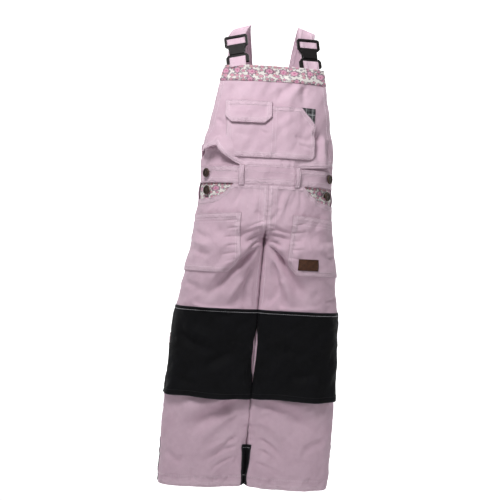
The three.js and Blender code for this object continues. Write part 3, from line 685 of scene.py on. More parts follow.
def sew(thread, lay, columns, rows, off):
    """Notes one run of stitches along a line on a piece; sew_threads makes them."""
    columns, rows = np.broadcast_arrays(np.asarray(columns, float), np.asarray(rows, float))
    line = lay(columns, rows, off + THREAD_LIFT + 0 * columns)
    above = lay(columns, rows, off + 1 + 0 * columns)
    thread_runs.setdefault(thread, []).append((line, above - line))


def stitches_along(line, normal, pitch, length, radius):
    """Short thread segments along a line: points and quads."""
    gone = gone_along(line)
    count = int(gone[-1] / pitch)
    if count < 1:
        return np.zeros((0, 3)), np.zeros((0, 4), int)
    start = (np.arange(count) + 0.5) * gone[-1] / count - length / 2
    ahead = read_between(start + length, gone, line) - read_between(start, gone, line)
    ahead /= np.maximum(np.linalg.norm(ahead, axis=-1, keepdims=True), 1e-12)
    rings = []
    for share, rise, wide in STITCH_FORM:
        at = read_between(start + share * length, gone, line)
        out = read_between(start + share * length, gone, normal)
        out /= np.linalg.norm(out, axis=-1, keepdims=True)
        across = np.cross(ahead, out)
        for k in range(THREAD_SIDES):
            angle = (k + 0.5) * 2 * math.pi / THREAD_SIDES
            spoke = math.cos(angle) * across + (math.sin(angle) + rise) * out
            rings.append(at + radius * wide * spoke)
    points = np.stack(rings, axis=1)
    last = (len(STITCH_FORM) - 1) * THREAD_SIDES
    quads = []
    for ring in range(0, last, THREAD_SIDES):
        for k in range(THREAD_SIDES):
            after = (k + 1) % THREAD_SIDES
            above = ring + THREAD_SIDES
            quads.append((ring + k, ring + after, above + after, above + k))
    quads.append(tuple(reversed(range(THREAD_SIDES))))
    quads.append(tuple(range(last, last + THREAD_SIDES)))
    quads = np.array(quads)
    offsets = np.arange(count)[:, None, None] * points.shape[1]
    return points.reshape(-1, 3), (quads[None] + offsets).reshape(-1, 4)


def sew_threads(name, runs, material, heft=1.0):
    """Makes all noted runs of one thread as one mesh; heft is how thick the thread is."""
    sizes = bpy.context.scene.overalls_sizes
    points, faces, count = [], [], 0
    for line, normal in runs:
        p, f = stitches_along(
            line, normal, sizes.stitch_pitch, sizes.stitch_length, sizes.thread_radius * heft
        )
        points.append(p)
        faces.append(f + count)
        count += len(p)
    points, faces = np.concatenate(points), np.concatenate(faces)
    piece = link_mesh(name, points, facing_out(points, faces))
    return dress(piece, material)


# =====================================================================================
# Finishes
# =====================================================================================
def linear(red, green, blue):
    """A display colour, 0 to 255, as the shader's linear colour."""
    values = np.array([red, green, blue]) / 255
    low, high = values / 12.92, ((values + 0.055) / 1.055) ** 2.4
    return tuple(float(c) for c in np.where(values <= 0.04045, low, high))


class Finish:
    """A material's node tree, built one node at a time."""

    def __init__(self, name, **constants):
        self.material = bpy.data.materials.new(name)
        self.material.use_nodes = True
        self.tree = self.material.node_tree
        self.tree.nodes.clear()
        self.shader = self.node("ShaderNodeBsdfPrincipled", **constants)
        output = self.node("ShaderNodeOutputMaterial")
        self.tree.links.new(self.shader.outputs[0], output.inputs["Surface"])

    def node(self, kind, settings=None, **inputs):
        made = self.tree.nodes.new(kind)
        for key, value in (settings or {}).items():
            setattr(made, key, value)
        for key, value in inputs.items():
            self.feed(made.inputs[key.replace("_", " ")], value)
        return made

    def feed(self, socket, value):
        if isinstance(value, bpy.types.NodeSocket):
            self.tree.links.new(value, socket)
        elif socket.type == "RGBA" and len(value) == 3:
            socket.default_value = (*value, 1)
        else:
            socket.default_value = value

    def attribute(self, name, output):
        return self.node("ShaderNodeAttribute", {"attribute_name": name}).outputs[output]

    def math(self, operation, first, second=0.0, clamp=False):
        made = self.node("ShaderNodeMath", {"operation": operation, "use_clamp": clamp})
        self.feed(made.inputs[0], first)
        self.feed(made.inputs[1], second)
        return made.outputs[0]

    def times(self, first, second, clamp=False):
        return self.math("MULTIPLY", first, second, clamp)

    def plus(self, first, second, clamp=False):
        return self.math("ADD", first, second, clamp)

    def minus(self, first, second):
        return self.math("SUBTRACT", first, second)

    def vector(self, operation, first, second=(0, 0, 0), scale=None):
        made = self.node("ShaderNodeVectorMath", {"operation": operation})
        self.feed(made.inputs[0], first)
        if scale is None:
            self.feed(made.inputs[1], second)
            return made.outputs[0]
        self.feed(made.inputs["Scale"], scale)
        return made.outputs[0]

    def mix(self, factor, first, second):
        made = self.node("ShaderNodeMix", {"data_type": "RGBA"})
        self.feed(made.inputs[0], factor)
        self.feed(made.inputs[6], first)
        self.feed(made.inputs[7], second)
        return made.outputs[2]

    def between(self, value, low, high, start=0.0, end=1.0):
        """value, eased from start to end as it goes from low to high."""
        made = self.node("ShaderNodeMapRange", {"interpolation_type": "SMOOTHSTEP"})
        for socket, number in zip(made.inputs, (value, low, high, start, end)):
            self.feed(socket, number)
        return made.outputs[0]

    def noise(self, place, scale, detail=2.0, roughness=0.5):
        made = self.node("ShaderNodeTexNoise", Scale=scale, Detail=detail, Roughness=roughness)
        self.feed(made.inputs["Vector"], place)
        return made.outputs["Fac"]

    def wave(self, place, scale, direction, distortion=0.0):
        made = self.node(
            "ShaderNodeTexWave", {"bands_direction": direction}, Scale=scale, Distortion=distortion
        )
        self.feed(made.inputs["Vector"], place)
        return made.outputs["Fac"]

    def relief(self, height, distance, strength=1.0, normal=None):
        made = self.node("ShaderNodeBump", Height=height, Distance=distance, Strength=strength)
        if normal is not None:
            self.feed(made.inputs["Normal"], normal)
        return made.outputs[0]

    def wear(self, color=None, roughness=None, normal=None):
        for key, value in (("Base Color", color), ("Roughness", roughness), ("Normal", normal)):
            if value is not None:
                self.feed(self.shader.inputs[key], value)
        return self.material


def seam_relief(f, cloth, edge):
    """Height of the folded allowance along sewn edges and the puckers between its stitches."""
    ridge = f.between(edge, 0.007, 0.0095, 1.0, 0.0)
    from_stitches = f.math("ABSOLUTE", f.minus(edge, EDGE_ROW * MM))
    groove = f.between(from_stitches, 0, 0.0013, 1, 0)
    near = f.between(edge, 0.004, 0.016, 1.0, 0.0)
    pucker = f.times(f.noise(cloth, 210, 1.5), near)
    raised = f.minus(ridge, f.times(groove, 0.9))
    return f.plus(f.times(raised, 0.35), pucker), near


def pink_twill(colours):
    f = Finish(
        "Pink twill", Specular_IOR_Level=0.22, Sheen_Weight=0.22, Sheen_Roughness=0.45,
        Sheen_Tint=(0.96, 0.86, 0.92),
    )
    cloth, edge = f.attribute("cloth", "Vector"), f.attribute("edge", "Fac")
    ribs = f.wave(cloth, 470, "DIAGONAL", 0.6)
    slub = f.noise(f.vector("MULTIPLY", cloth, (1, 0.12, 1)), 1500, 2)
    cloudy = f.noise(cloth, 14, 4, 0.6)
    patchy = f.noise(cloth, 90, 3, 0.6)
    seam, near = seam_relief(f, cloth, edge)
    tone = f.plus(f.times(cloudy, 0.5), f.times(patchy, 0.3))
    tone = f.plus(tone, f.times(f.plus(ribs, slub), 0.12))
    base = f.mix(f.between(tone, 0.3, 0.75), colours.twill_dark, colours.twill_light)
    faded = f.times(near, f.noise(cloth, 330, 2), True)
    base = f.mix(f.times(faded, 0.4), base, colours.twill_worn)
    # Painted shade: the twill is darkened within about 1.2 mm of each sewn edge, in place of the
    # shadow that falls in the seam groove.
    painted_seam_shade = f.between(edge, 0.0, 0.0012, 0.42, 0.0)
    color = f.mix(painted_seam_shade, base, colours.twill_seam_shade)
    weave = f.relief(f.plus(ribs, f.times(slub, 0.6)), 0.00018, 0.55)
    creased = f.relief(f.noise(cloth, 120, 3, 0.55), 0.0009, 0.35, weave)
    normal = f.relief(seam, 0.0020, 0.9, creased)
    return f.wear(color, f.between(patchy, 0.3, 0.7, 0.82, 0.94), normal)


def flower_layer(f, cloth, spacing, size, petals, present, jitter):
    """Mask, outline and random shade of one layer of scattered flowers."""
    place = f.vector("SCALE", cloth, scale=1 / spacing)
    bent = f.node("ShaderNodeTexNoise", Scale=2.6, Detail=1.0)
    f.feed(bent.inputs["Vector"], place)
    place = f.vector("ADD", place, f.vector("SCALE", bent.outputs["Color"], scale=0.25))
    cells = f.node(
        "ShaderNodeTexVoronoi", {"voronoi_dimensions": "2D"}, Scale=1.0, Randomness=jitter
    )
    f.feed(cells.inputs["Vector"], place)
    from_centre = f.vector("SUBTRACT", place, cells.outputs["Position"])
    parts = f.node("ShaderNodeSeparateXYZ", Vector=from_centre)
    chance = f.node("ShaderNodeSeparateColor", Color=cells.outputs["Color"])
    spin = f.times(chance.outputs[0], 6.28)
    angle = f.math("ARCTAN2", parts.outputs[1], parts.outputs[0])
    lobes = f.math("COSINE", f.plus(f.times(angle, petals), spin))
    reach = f.times(cells.outputs["Distance"], f.minus(1.12, f.times(lobes, 0.2)))
    limit = f.plus(size * 0.72, f.times(chance.outputs[1], size * 0.4))
    shown = f.math("LESS_THAN", chance.outputs[2], present)
    depth = f.minus(limit, reach)
    mask = f.times(f.between(depth, 0.0, 0.03), shown)
    rim = f.times(f.between(f.math("ABSOLUTE", depth), 0.02, 0.06, 1, 0), shown)
    heart = f.times(f.between(reach, size * 0.16, size * 0.3, 1, 0), shown)
    rays = f.times(f.between(lobes, -0.9, -0.5, 1, 0), mask)
    return mask, rim, heart, rays, chance.outputs[0]


def floral_cotton(colours):
    f = Finish("Floral cotton", Specular_IOR_Level=0.2, Sheen_Weight=0.12, Sheen_Roughness=0.5)
    cloth, edge = f.attribute("cloth", "Vector"), f.attribute("edge", "Fac")
    threads = f.plus(f.wave(cloth, 560, "X", 0.3), f.wave(cloth, 560, "Y", 0.3))
    color = f.mix(f.noise(cloth, 60, 3), colours.floral_ground, (0.70, 0.66, 0.64))
    # Flowers: spacing, size, petals, share of places taken, jitter, shift and two colours
    layers = (
        (0.0056, 0.29, 4, 0.72, 0.9, 0.004, colours.floral_leaf, colours.floral_outline),
        (0.0080, 0.41, 5, 0.90, 0.6, 0.015, colours.floral_deep, colours.floral_coral),
        (0.0195, 0.33, 7, 0.85, 0.5, 0.0300, colours.floral_pink, colours.floral_deep),
    )
    for number, (*flowers, lower, first, second) in enumerate(layers):
        shifted = f.vector("ADD", cloth, (0.037 * number, lower, 0))
        shifted = f.vector("MULTIPLY", shifted, (0.72, 1, 1))
        mask, rim, heart, rays, shade = flower_layer(f, shifted, *flowers)
        petal = f.mix(shade, first, second)
        petal = f.mix(f.times(f.noise(cloth, 700, 2), 0.55), petal, colours.floral_ground)
        color = f.mix(mask, color, petal)
        color = f.mix(f.times(rays, 0.45), color, colours.floral_ground)
        color = f.mix(f.times(rim, 0.9), color, colours.floral_outline)
        color = f.mix(f.times(heart, 0.8), color, colours.floral_deep)
    seam, _ = seam_relief(f, cloth, edge)
    weave = f.relief(threads, 0.00012, 0.5)
    return f.wear(color, f.between(threads, 0, 2, 0.8, 0.92), f.relief(seam, 0.0008, 0.7, weave))


PLAID_REPEAT = 0.0125
# Where each line runs in a repeat, half its width, and how strong it is
PLAID_LINES = ((0.0030, 0.0020, 0.05), (0.0068, 0.00040, 0.75), (0.0088, 0.00028, 0.4))


def plaid_cotton(colours):
    f = Finish("Plaid cotton", Specular_IOR_Level=0.2, Sheen_Weight=0.1)
    cloth = f.attribute("cloth", "Vector")
    parts = f.node("ShaderNodeSeparateXYZ", Vector=cloth)
    color = f.mix(f.noise(cloth, 900, 2), colours.plaid_dark, (0.03, 0.03, 0.033))
    for axis in (0, 1):
        place = parts.outputs[axis]
        for start, half, strength in PLAID_LINES:
            shifted = f.math("FLOORED_MODULO", f.plus(place, start), PLAID_REPEAT)
            line = f.math("ABSOLUTE", f.minus(shifted, PLAID_REPEAT / 2))
            band = f.between(line, half * 0.7, half * 1.2, strength, 0)
            color = f.mix(band, color, colours.plaid_light)
    threads = f.plus(f.wave(cloth, 600, "X"), f.wave(cloth, 600, "Y"))
    return f.wear(color, f.between(threads, 0, 2, 0.8, 0.92), f.relief(threads, 0.00012, 0.5))


def black_canvas(colours):
    f = Finish("Black canvas", Specular_IOR_Level=0.10, Sheen_Weight=0.01, Sheen_Roughness=0.4)
    cloth, edge = f.attribute("cloth", "Vector"), f.attribute("edge", "Fac")
    threads = f.times(f.wave(cloth, 420, "X", 0.4), f.wave(cloth, 420, "Y", 0.4))
    cloudy = f.noise(cloth, 22, 4, 0.6)
    seam, _ = seam_relief(f, cloth, edge)
    base = f.mix(f.between(cloudy, 0.3, 0.7), colours.canvas_dark, colours.canvas_light)
    lint = f.between(f.noise(f.vector("MULTIPLY", cloth, (1, 0.4, 1)), 1900, 2), 0.70, 0.80, 0, 0.3)
    scuffed = f.times(f.between(edge, 0.0, 0.0018, 0.5, 0.0), f.noise(cloth, 800, 2))
    color = f.mix(f.plus(lint, scuffed), base, colours.canvas_worn)
    weave = f.relief(threads, 0.0002, 0.6)
    creased = f.relief(f.noise(cloth, 75, 4, 0.5), 0.0012, 0.35, weave)
    rough = f.between(cloudy, 0.3, 0.7, 0.60, 0.80)
    return f.wear(color, rough, f.relief(seam, 0.001, 0.7, creased))


def black_plastic(colours):
    f = Finish("Black plastic", Specular_IOR_Level=0.14)
    place = f.node("ShaderNodeTexCoord").outputs["Object"]
    grain = f.noise(place, 2600, 2)
    smudge = f.noise(place, 160, 3, 0.6)
    bevel = f.node("ShaderNodeNewGeometry").outputs["Pointiness"]
    rubbed = f.between(bevel, 0.58, 0.7, 0, 0.3)
    streaks = f.noise(f.vector("MULTIPLY", place, (1, 0.08, 1)), 1500, 2)
    scratch = f.between(streaks, 0.66, 0.74, 0, 0.25)
    base = f.mix(smudge, colours.plastic_dark, colours.plastic_light)
    color = f.mix(f.plus(rubbed, scratch, True), base, colours.plastic_worn)
    rough = f.between(smudge, 0.3, 0.7, 0.44, 0.60)
    return f.wear(color, rough, f.relief(grain, 0.00006, 0.5))


def brown_leather(colours):
    f = Finish("Brown leather", Specular_IOR_Level=0.25)
    cloth, edge = f.attribute("cloth", "Vector"), f.attribute("edge", "Fac")
    pores = f.node("ShaderNodeTexVoronoi", {"feature": "DISTANCE_TO_EDGE"}, Scale=1050.0)
    f.feed(pores.inputs["Vector"], cloth)
    grain = f.between(pores.outputs["Distance"], 0.0, 0.14)
    cloudy = f.noise(cloth, 130, 4, 0.65)
    base = f.mix(f.between(cloudy, 0.3, 0.7), colours.leather_dark, colours.leather_light)
    color = f.mix(f.between(edge, 0.0006, 0.0022, 0.75, 0.0), base, colours.leather_dark)
    creased = f.relief(cloudy, 0.0005, 0.4)
    rough = f.between(cloudy, 0.3, 0.7, 0.42, 0.62)
    return f.wear(color, rough, f.relief(grain, 0.00016, 0.6, creased))


def dark_brass(colours):
    f = Finish("Dark brass", Metallic=0.85)
    place = f.node("ShaderNodeTexCoord").outputs["Object"]
    tarnish = f.noise(place, 420, 4, 0.65)
    bevel = f.node("ShaderNodeNewGeometry").outputs["Pointiness"]
    rubbed = f.between(bevel, 0.5, 0.6, 0, 0.75)
    base = f.mix(f.between(tarnish, 0.35, 0.7), colours.brass_dark, colours.brass_light)
    color = f.mix(rubbed, base, colours.brass_worn)
    return f.wear(color, f.between(tarnish, 0.3, 0.7, 0.36, 0.6), f.relief(tarnish, 0.0002, 0.4))


def thread(name, light, dark):
    f = Finish(name, Specular_IOR_Level=0.3, Sheen_Weight=0.2)
    place = f.node("ShaderNodeTexCoord").outputs["Object"]
    twist = f.wave(place, 900, "DIAGONAL", 1.0)
    color = f.mix(f.times(f.noise(place, 500, 2), 0.8), light, dark)
    return f.wear(color, f.between(twist, 0, 1, 0.55, 0.75), f.relief(twist, 0.00008, 0.5))


FINISHES = {
    "pink_twill": pink_twill,
    "floral_cotton": floral_cotton,
    "plaid_cotton": plaid_cotton,
    "black_canvas": black_canvas,
    "black_plastic": black_plastic,
    "brown_leather": brown_leather,
    "dark_brass": dark_brass,
    "pink_thread": lambda c: thread("Pink thread", c.thread_pink, c.twill_light),
    "grey_thread": lambda c: thread("Grey thread", c.thread_grey, c.canvas_worn),
    "brown_thread": lambda c: thread("Brown thread", c.leather_light, c.leather_dark),
}
made_finishes = {}


def finish_of(name):
    if name not in made_finishes:
        made_finishes[name] = FINISHES[name](bpy.context.scene.overalls_colours)
    return made_finishes[name]


def dress(piece, material):
    piece.data.materials.clear()
    piece.data.materials.append(finish_of(material))
    return piece


def joint_of(body):
    return next(joint for joint in frame["joints"] if joint["child"] == body)


def patch_over(stand):
    """The outer face of a patch whose inner face stands at a height."""
    return lambda column, row: stand(column, row) + PATCH


def settle(piece, node, material, body="root"):
    """The piece stands for a CAD node, takes a finish and rides on a body."""
    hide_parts(node)
    dress(piece, material)
    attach(piece, body)
    return piece


# =====================================================================================
# Bib, back and waist
# =====================================================================================
bib_half = broken(BIB_HALF)
bib_free_edge = broken(BIB_FREE_EDGE)
back_half = broken(BACK_HALF)


def bib_stand(x, drop):
    """How far the bib's free lower edge stands open on the wearer's right."""
    opened = 11 * smooth(-x, 52, 88) * (1 - smooth(-x, 108, 121)) * smooth(drop, 196, 240)
    curl = 3 * smooth(-x, 60, 90) * smooth(drop, 225, 240)
    beside = 2.5 * smooth(x, 60, 96) * (1 - smooth(x, 108, 121)) * smooth(drop, 232, 258)
    return opened + curl + beside


def on_bib(column, drop, off):
    x = column * bib_half(drop)
    return on_torso(FRONT, turn_at(x, drop), drop, off + bib_stand(x, drop))


def bib_sheet(top, bottom):
    """Lays columns -1 to 1 across the bib, and rows 0 to 1 from a top drop to a lower edge."""
    def lay(column, row, off):
        low = bottom(column * BIB_HALF_LOW)
        return on_bib(column, top + (low - top) * row, off)
    return lay


def build_bib():
    lay = bib_sheet(BIB_TOP + 1, bib_free_edge)
    columns = np.linspace(-1, 1, 151)
    piece = shell("bib_panel_cloth", lay, columns, np.linspace(0, 1, 111), *CLOTH)
    settle(piece, "bib_panel", "pink_twill")
    centre = shell(
        "bib_centre_cloth", torso_at_x(FRONT), steps(-BIB_CENTRE_HALF, BIB_CENTRE_HALF, 1.8),
        steps(WAIST_TOP - 6, WAIST_BOTTOM - SEAM_GAP, 1.8), *CLOTH, sewn="lrb",
    )
    dress(centre, "pink_twill")
    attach(centre, "root")
    band_lay = bib_sheet(BIB_TOP, lambda x: BAND_BOTTOM + 0 * x)
    band = shell(
        "bib_band_cloth", band_lay, columns, np.linspace(0, 1, 19), ON_CLOTH, ON_CLOTH + PATCH
    )
    settle(band, "bib_top_band", "floral_cotton")
    line = np.linspace(-TO_SEAM, TO_SEAM, 300)
    top = ON_CLOTH + PATCH
    sew("grey", band_lay, line, 0.925, top)
    sew("grey", band_lay, line, 0.07, top)
    rows = np.linspace(0.16, 0.985, 240)
    for side in (-1, 1):
        sew("pink", lay, side * 0.978, rows, CLOTH[1])
        sew("pink", lay, side * 0.93, rows, CLOTH[1])
    for ends in ((-0.97, -0.42), (0.42, 0.97)):
        for row in (0.975, 0.94):
            sew("pink", lay, np.linspace(*ends, 120), row, CLOTH[1])
    centre_line = np.linspace(-BIB_CENTRE_HALF + 1, BIB_CENTRE_HALF - 1, 90)
    for drop in (WAIST_TOP - 2, WAIST_TOP + 8, WAIST_BOTTOM - 3, WAIST_BOTTOM - 10):
        sew("pink", torso_at_x(FRONT), centre_line, drop, CLOTH[1])


def build_chest_pocket():
    facing = (1.3, 2.3)
    pocket = (2.5, 3.9)
    at = torso_at_x(FRONT)
    pen_cut = broken(PEN_CUT)

    def bottom_at(x):
        past = np.clip(np.abs(x) - (CHEST_HALF - CHEST_CORNER), 0, CHEST_CORNER)
        return CHEST_BOTTOM - CHEST_CORNER + np.sqrt(CHEST_CORNER**2 - past**2)

    def lay_pocket(x, row, off):
        top = pen_cut(x)
        return at(x, top + (bottom_at(x) - top) * row, off)

    fan = CHEST_HALF - CHEST_CORNER * (1 - np.sin(np.linspace(0, np.pi / 2, 12)))
    columns = np.concatenate([-fan[::-1], steps(-fan[0] + 1.5, fan[0] - 1.5, 1.6), fan])
    piece = shell("chest_pocket_cloth", lay_pocket, columns, np.linspace(0, 1, 61), *pocket)
    settle(piece, "chest_pocket", "pink_twill")
    piece = shell(
        "pen_pocket_lining", at, steps(PEN_CUT[0][0] - 6, CHEST_HALF - 1, 1.6),
        steps(CHEST_TOP, PEN_CUT[1][1] + 8, 1.6), *facing, sewn="",
    )
    settle(piece, "pen_pocket_facing", "plaid_cotton")
    top = pocket[1]
    for inset in (EDGE_ROW, SECOND_ROW):
        drops = np.linspace(FLAP_BOTTOM - 20, CHEST_BOTTOM - CHEST_CORNER, 60)
        sew("pink", at, -CHEST_HALF + inset, drops, top)
        drops = np.linspace(PEN_CUT[1][1] + 3, CHEST_BOTTOM - CHEST_CORNER, 60)
        sew("pink", at, CHEST_HALF - inset, drops, top)
        xs = np.linspace(-CHEST_HALF + CHEST_CORNER, CHEST_HALF - CHEST_CORNER, 140)
        sew("pink", at, xs, CHEST_BOTTOM - inset, top)
        for side in (-1, 1):
            angle = np.linspace(0, np.pi / 2, 24)
            radius = CHEST_CORNER - inset
            xs = side * (CHEST_HALF - CHEST_CORNER + radius * np.cos(angle))
            sew("pink", at, xs, CHEST_BOTTOM - CHEST_CORNER + radius * np.sin(angle), top)
    for x in (CHEST_DIVIDER - 3, CHEST_DIVIDER + 3):
        sew("pink", at, x, np.linspace(CHEST_TOP + 4, CHEST_BOTTOM - 3, 90), top)
    along = np.linspace(0.03, 0.97, 60)
    (x0, drop0), (x1, drop1) = PEN_CUT
    for inset in (EDGE_ROW, 7.5):
        xs = x0 + (x1 - x0) * along - inset * 0.74
        sew("pink", at, xs, drop0 + (drop1 - drop0) * along + inset * 0.68, top)
    sew("pink", at, np.linspace(2, PEN_CUT[0][0] - 2, 60), CHEST_TOP + EDGE_ROW, top)


def build_flap():
    at = torso_at_x(FRONT)
    heights = (4.3, 5.7)
    (left, right), chamfer = FLAP_REACH, FLAP_CHAMFER
    edge = broken((
        (left, FLAP_BOTTOM - chamfer), (left + chamfer, FLAP_BOTTOM),
        (right - chamfer, FLAP_BOTTOM), (right, FLAP_BOTTOM - chamfer),
    ))

    def lay(x, row, off):
        bulge = 3.0 * np.clip(row, 0, 1) ** 1.3
        drawn = x + 3.0 * row * (right - x) / (right - left)
        return at(drawn, FLAP_TOP + (edge(x) - FLAP_TOP) * row, off + bulge)

    columns = np.unique(np.concatenate([
        steps(left, left + chamfer, 1.3), steps(left + chamfer, right - chamfer, 1.6),
        steps(right - chamfer, right, 1.3),
    ]))
    flap = shell("chest_flap_cloth", lay, columns, np.linspace(0, 1, 33), *heights)
    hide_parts("chest_pocket_flap")
    dress(flap, "pink_twill")
    top = heights[1]
    for inset in (EDGE_ROW, 8.0):
        share = inset / (FLAP_BOTTOM - FLAP_TOP)
        rows = np.linspace(0.06, 1 - share * 1.3, 40)
        sew("flap", lay, left + inset, rows, top)
        sew("flap", lay, right - inset, rows, top)
        sew("flap", lay, np.linspace(left + inset, right - inset, 90), 1 - share, top)
    for row in (0.05, 0.2):
        sew("flap", lay, np.linspace(left + 2, right - 2, 90), row, top)
    runs = thread_runs.pop("flap")
    threads = sew_threads("chest_flap_topstitching", runs, "pink_thread")
    for piece in (flap, threads):
        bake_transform(piece)


def build_wing(side, word):
    """The side of the back panel, carried round under the bib to the front waistband."""
    top = broken(WING_TOP)

    def lay(turn, row, off):
        high = top(wide_at(WAIST_TOP) * rounded(np.sin(turn * np.pi / 2)))
        drop = high + (WAIST_TOP + 3 - high) * row
        beside = smooth(turn, 0.86, 1) * smooth(drop, 240, 250)
        meets = (WING_UNDER - 1.2) * beside + 3.0 * (1 - beside) * smooth(drop, 252, WAIST_TOP)
        return on_torso(FRONT, side * turn, drop, off + meets)

    columns = np.linspace(turn_at(BIB_CENTRE_HALF + 4.0, WAIST_TOP), 1, 50)
    wing = shell(
        word + "_back_panel_wing", lay, columns, np.linspace(0, 1, 24),
        CLOTH[0] - WING_UNDER, CLOTH[1] - WING_UNDER, "t",
    )
    dress(wing, "pink_twill")
    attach(wing, "root")


def build_back():
    def lay(column, drop, off):
        turn = column * turn_at(back_half(drop), drop)
        return on_torso(BACK, turn, drop, off)

    columns = np.linspace(-1, 1, 141)
    piece = shell(
        "back_panel_cloth", lay, columns, steps(BACK_TOP, WAIST_TOP - SEAM_GAP, 1.6), *CLOTH
    )
    settle(piece, "back_panel", "pink_twill")
    band = lambda turn, drop, off: on_torso(BACK, turn, drop, off)
    piece = shell(
        "back_waistband_cloth", band, columns,
        steps(WAIST_TOP, WAIST_BOTTOM - SEAM_GAP, 1.8), *CLOTH,
    )
    settle(piece, "back_waistband", "pink_twill")
    line = np.linspace(-TO_SEAM, TO_SEAM, 260)
    sew("pink", lay, line, BACK_TOP + EDGE_ROW, CLOTH[1])
    sew("pink", lay, line, BACK_TOP + 12, CLOTH[1])
    rows = np.linspace(BACK_TOP + 3, WAIST_TOP - 26, 160)
    for side in (-1, 1):
        sew("pink", lay, side * 0.97, rows, CLOTH[1])
        sew("pink", lay, side * 0.91, rows, CLOTH[1])
    for drop in (WAIST_TOP + 2, WAIST_TOP - 2.5, WAIST_BOTTOM - 2.5):
        sew("pink", band, line, drop, CLOTH[1])
    ends = np.linspace(BACK_TOP + 3, BACK_TOP + 40, 40)
    for x in (-38, -26, 26, 38):
        sew("pink", torso_at_x(BACK), x, ends, CLOTH[1])


def build_front_waistband(side, word):
    inner = turn_at(BIB_CENTRE_HALF + SEAM_GAP, WAIST_TOP)
    lay = lambda turn, drop, off: on_torso(FRONT, side * turn, drop, off)
    columns = np.linspace(inner, 1, 61)
    drops = steps(WAIST_TOP, WAIST_BOTTOM - SEAM_GAP, 1.8)
    piece = shell(word + "_front_waistband_cloth", lay, columns, drops, *CLOTH)
    settle(piece, word + "_front_waistband", "pink_twill")
    line = np.linspace(inner + 0.012, 0.99, 110)
    for drop in (WAIST_TOP + EDGE_ROW, WAIST_TOP + 9, WAIST_BOTTOM - 9, WAIST_BOTTOM - 2.5):
        sew("pink", lay, line, drop, CLOTH[1])


def build_loop(name, face, x):
    stand = lambda column, drop: ON_CLOTH + LOOP_ROOM * np.sin(
        np.clip((drop - WAIST_TOP + 3) / (WAIST_BOTTOM - WAIST_TOP + 6), 0, 1) * np.pi
    )
    top = patch_over(stand)
    at = torso_at_x(face)
    half = LOOP_WIDE / 2
    drops = steps(WAIST_TOP - 3, WAIST_BOTTOM + 3, 1.3)
    piece = shell(
        name + "_cloth", at, steps(x - half, x + half, 1.1), drops,
        stand, top,
    )
    settle(piece, name, "pink_twill")
    for place in (x - half + 1.8, x + half - 1.8):
        sew("pink", at, place, drops, top(x, drops))
    for drop in (WAIST_TOP - 1.5, WAIST_TOP - 0.5, WAIST_BOTTOM + 0.5, WAIST_BOTTOM + 1.5):
        xs = np.linspace(x - half + 0.8, x + half - 0.8, 12)
        sew("pink", at, xs, drop, top(xs, drop) + 0 * xs)


# =====================================================================================
# Trouser halves and what is sewn on them
# =====================================================================================
def hand_edge(x):
    along = np.clip((x - HAND_INNER) / (wide_at(HAND_DROP) - HAND_INNER), 0, 1)
    return WAIST_BOTTOM + (HAND_DROP - WAIST_BOTTOM) * (1 - (1 - along) ** 2.6)


def hem_at(share):
    return HEM - HEM_LIFT * (1 - share) ** 3


def panel_sheet(side, face, top):
    def lay(share, row, off):
        low, high = top(share), hem_at(share)
        return on_leg(side, face, share, low + (high - low) * row, off)
    return lay


def flat_sheet(side, face):
    return lambda share, drop, off: on_leg(side, face, share, drop, off)


def build_trouser_half(side, word):
    fan = (1 - np.cos(np.linspace(0, np.pi, 99))) / 2
    shares = 0.35 * fan + 0.65 * np.linspace(0, 1, 99)
    rows = np.linspace(0, 1, 351)
    tops = {
        FRONT: lambda share: hand_edge(leg_reach(share, WAIST_BOTTOM + 12 + 0 * share)[0]),
        BACK: lambda share: WAIST_BOTTOM + 0 * share,
    }
    for face, part in ((FRONT, "_front_leg"), (BACK, "_back_leg")):
        lay = panel_sheet(side, face, tops[face])
        piece = shell(word + part + "_cloth", lay, shares, rows, *CLOTH)
        settle(piece, word + part, "pink_twill")
        at = flat_sheet(side, face)
        across = np.linspace(0.03, TO_SEAM, 220)
        for lift in (17.5, 19.5):
            sew("pink", at, across, hem_at(across) - lift, CLOTH[1])
        if face == FRONT:
            for share, above in ((0.012, 6), (0.045, 12)):
                downs = np.linspace(WAIST_BOTTOM + 3, CROTCH - above, 90)
                sew("pink", at, share, downs, CLOTH[1])
            start = share_at(np.array(HAND_INNER - 2.0), WAIST_BOTTOM + 10.0)
            line = np.linspace(start, TO_SEAM, 90)
            for inset in (2.4, 8.4):
                sew("pink", at, line, tops[FRONT](line) + inset, CLOTH[1])
        else:
            for share in (0.975, 0.945):
                downs = np.linspace(CROTCH_START - 46, HEM - 6, 600)
                sew("pink", at, share, downs, CLOTH[1])
            for share, above in ((0.02, 4), (0.055, 8)):
                downs = np.linspace(WAIST_BOTTOM + 3, CROTCH - above, 120)
                sew("pink", at, share, downs, CLOTH[1])
        sew("pink", at, 0.085, np.linspace(CROTCH + 14, HEM - 10, 460), CLOTH[1])

    at = flat_sheet(side, FRONT)
    start = float(share_at(np.array(HAND_INNER - 4.0), WAIST_BOTTOM + SEAM_GAP))
    piece = shell(
        word + "_hand_pocket_lining", at, np.linspace(start, TO_SEAM, 41),
        steps(WAIST_BOTTOM + SEAM_GAP, FACING_BOTTOM, 1.8), *LINING, sewn="",
    )
    settle(piece, word + "_hand_pocket_facing", "floral_cotton")
    inner, outer = (float(share_at(np.array(float(x)), FACING_BOTTOM + 0.0)) for x in BAG_REACH)
    piece = shell(
        word + "_hand_pocket_sack", at, np.linspace(inner, outer, 31),
        steps(WAIST_BOTTOM + SEAM_GAP, BAG_BOTTOM, 2.5), *BAG,
    )
    settle(piece, word + "_hand_pocket_bag", "pink_twill")


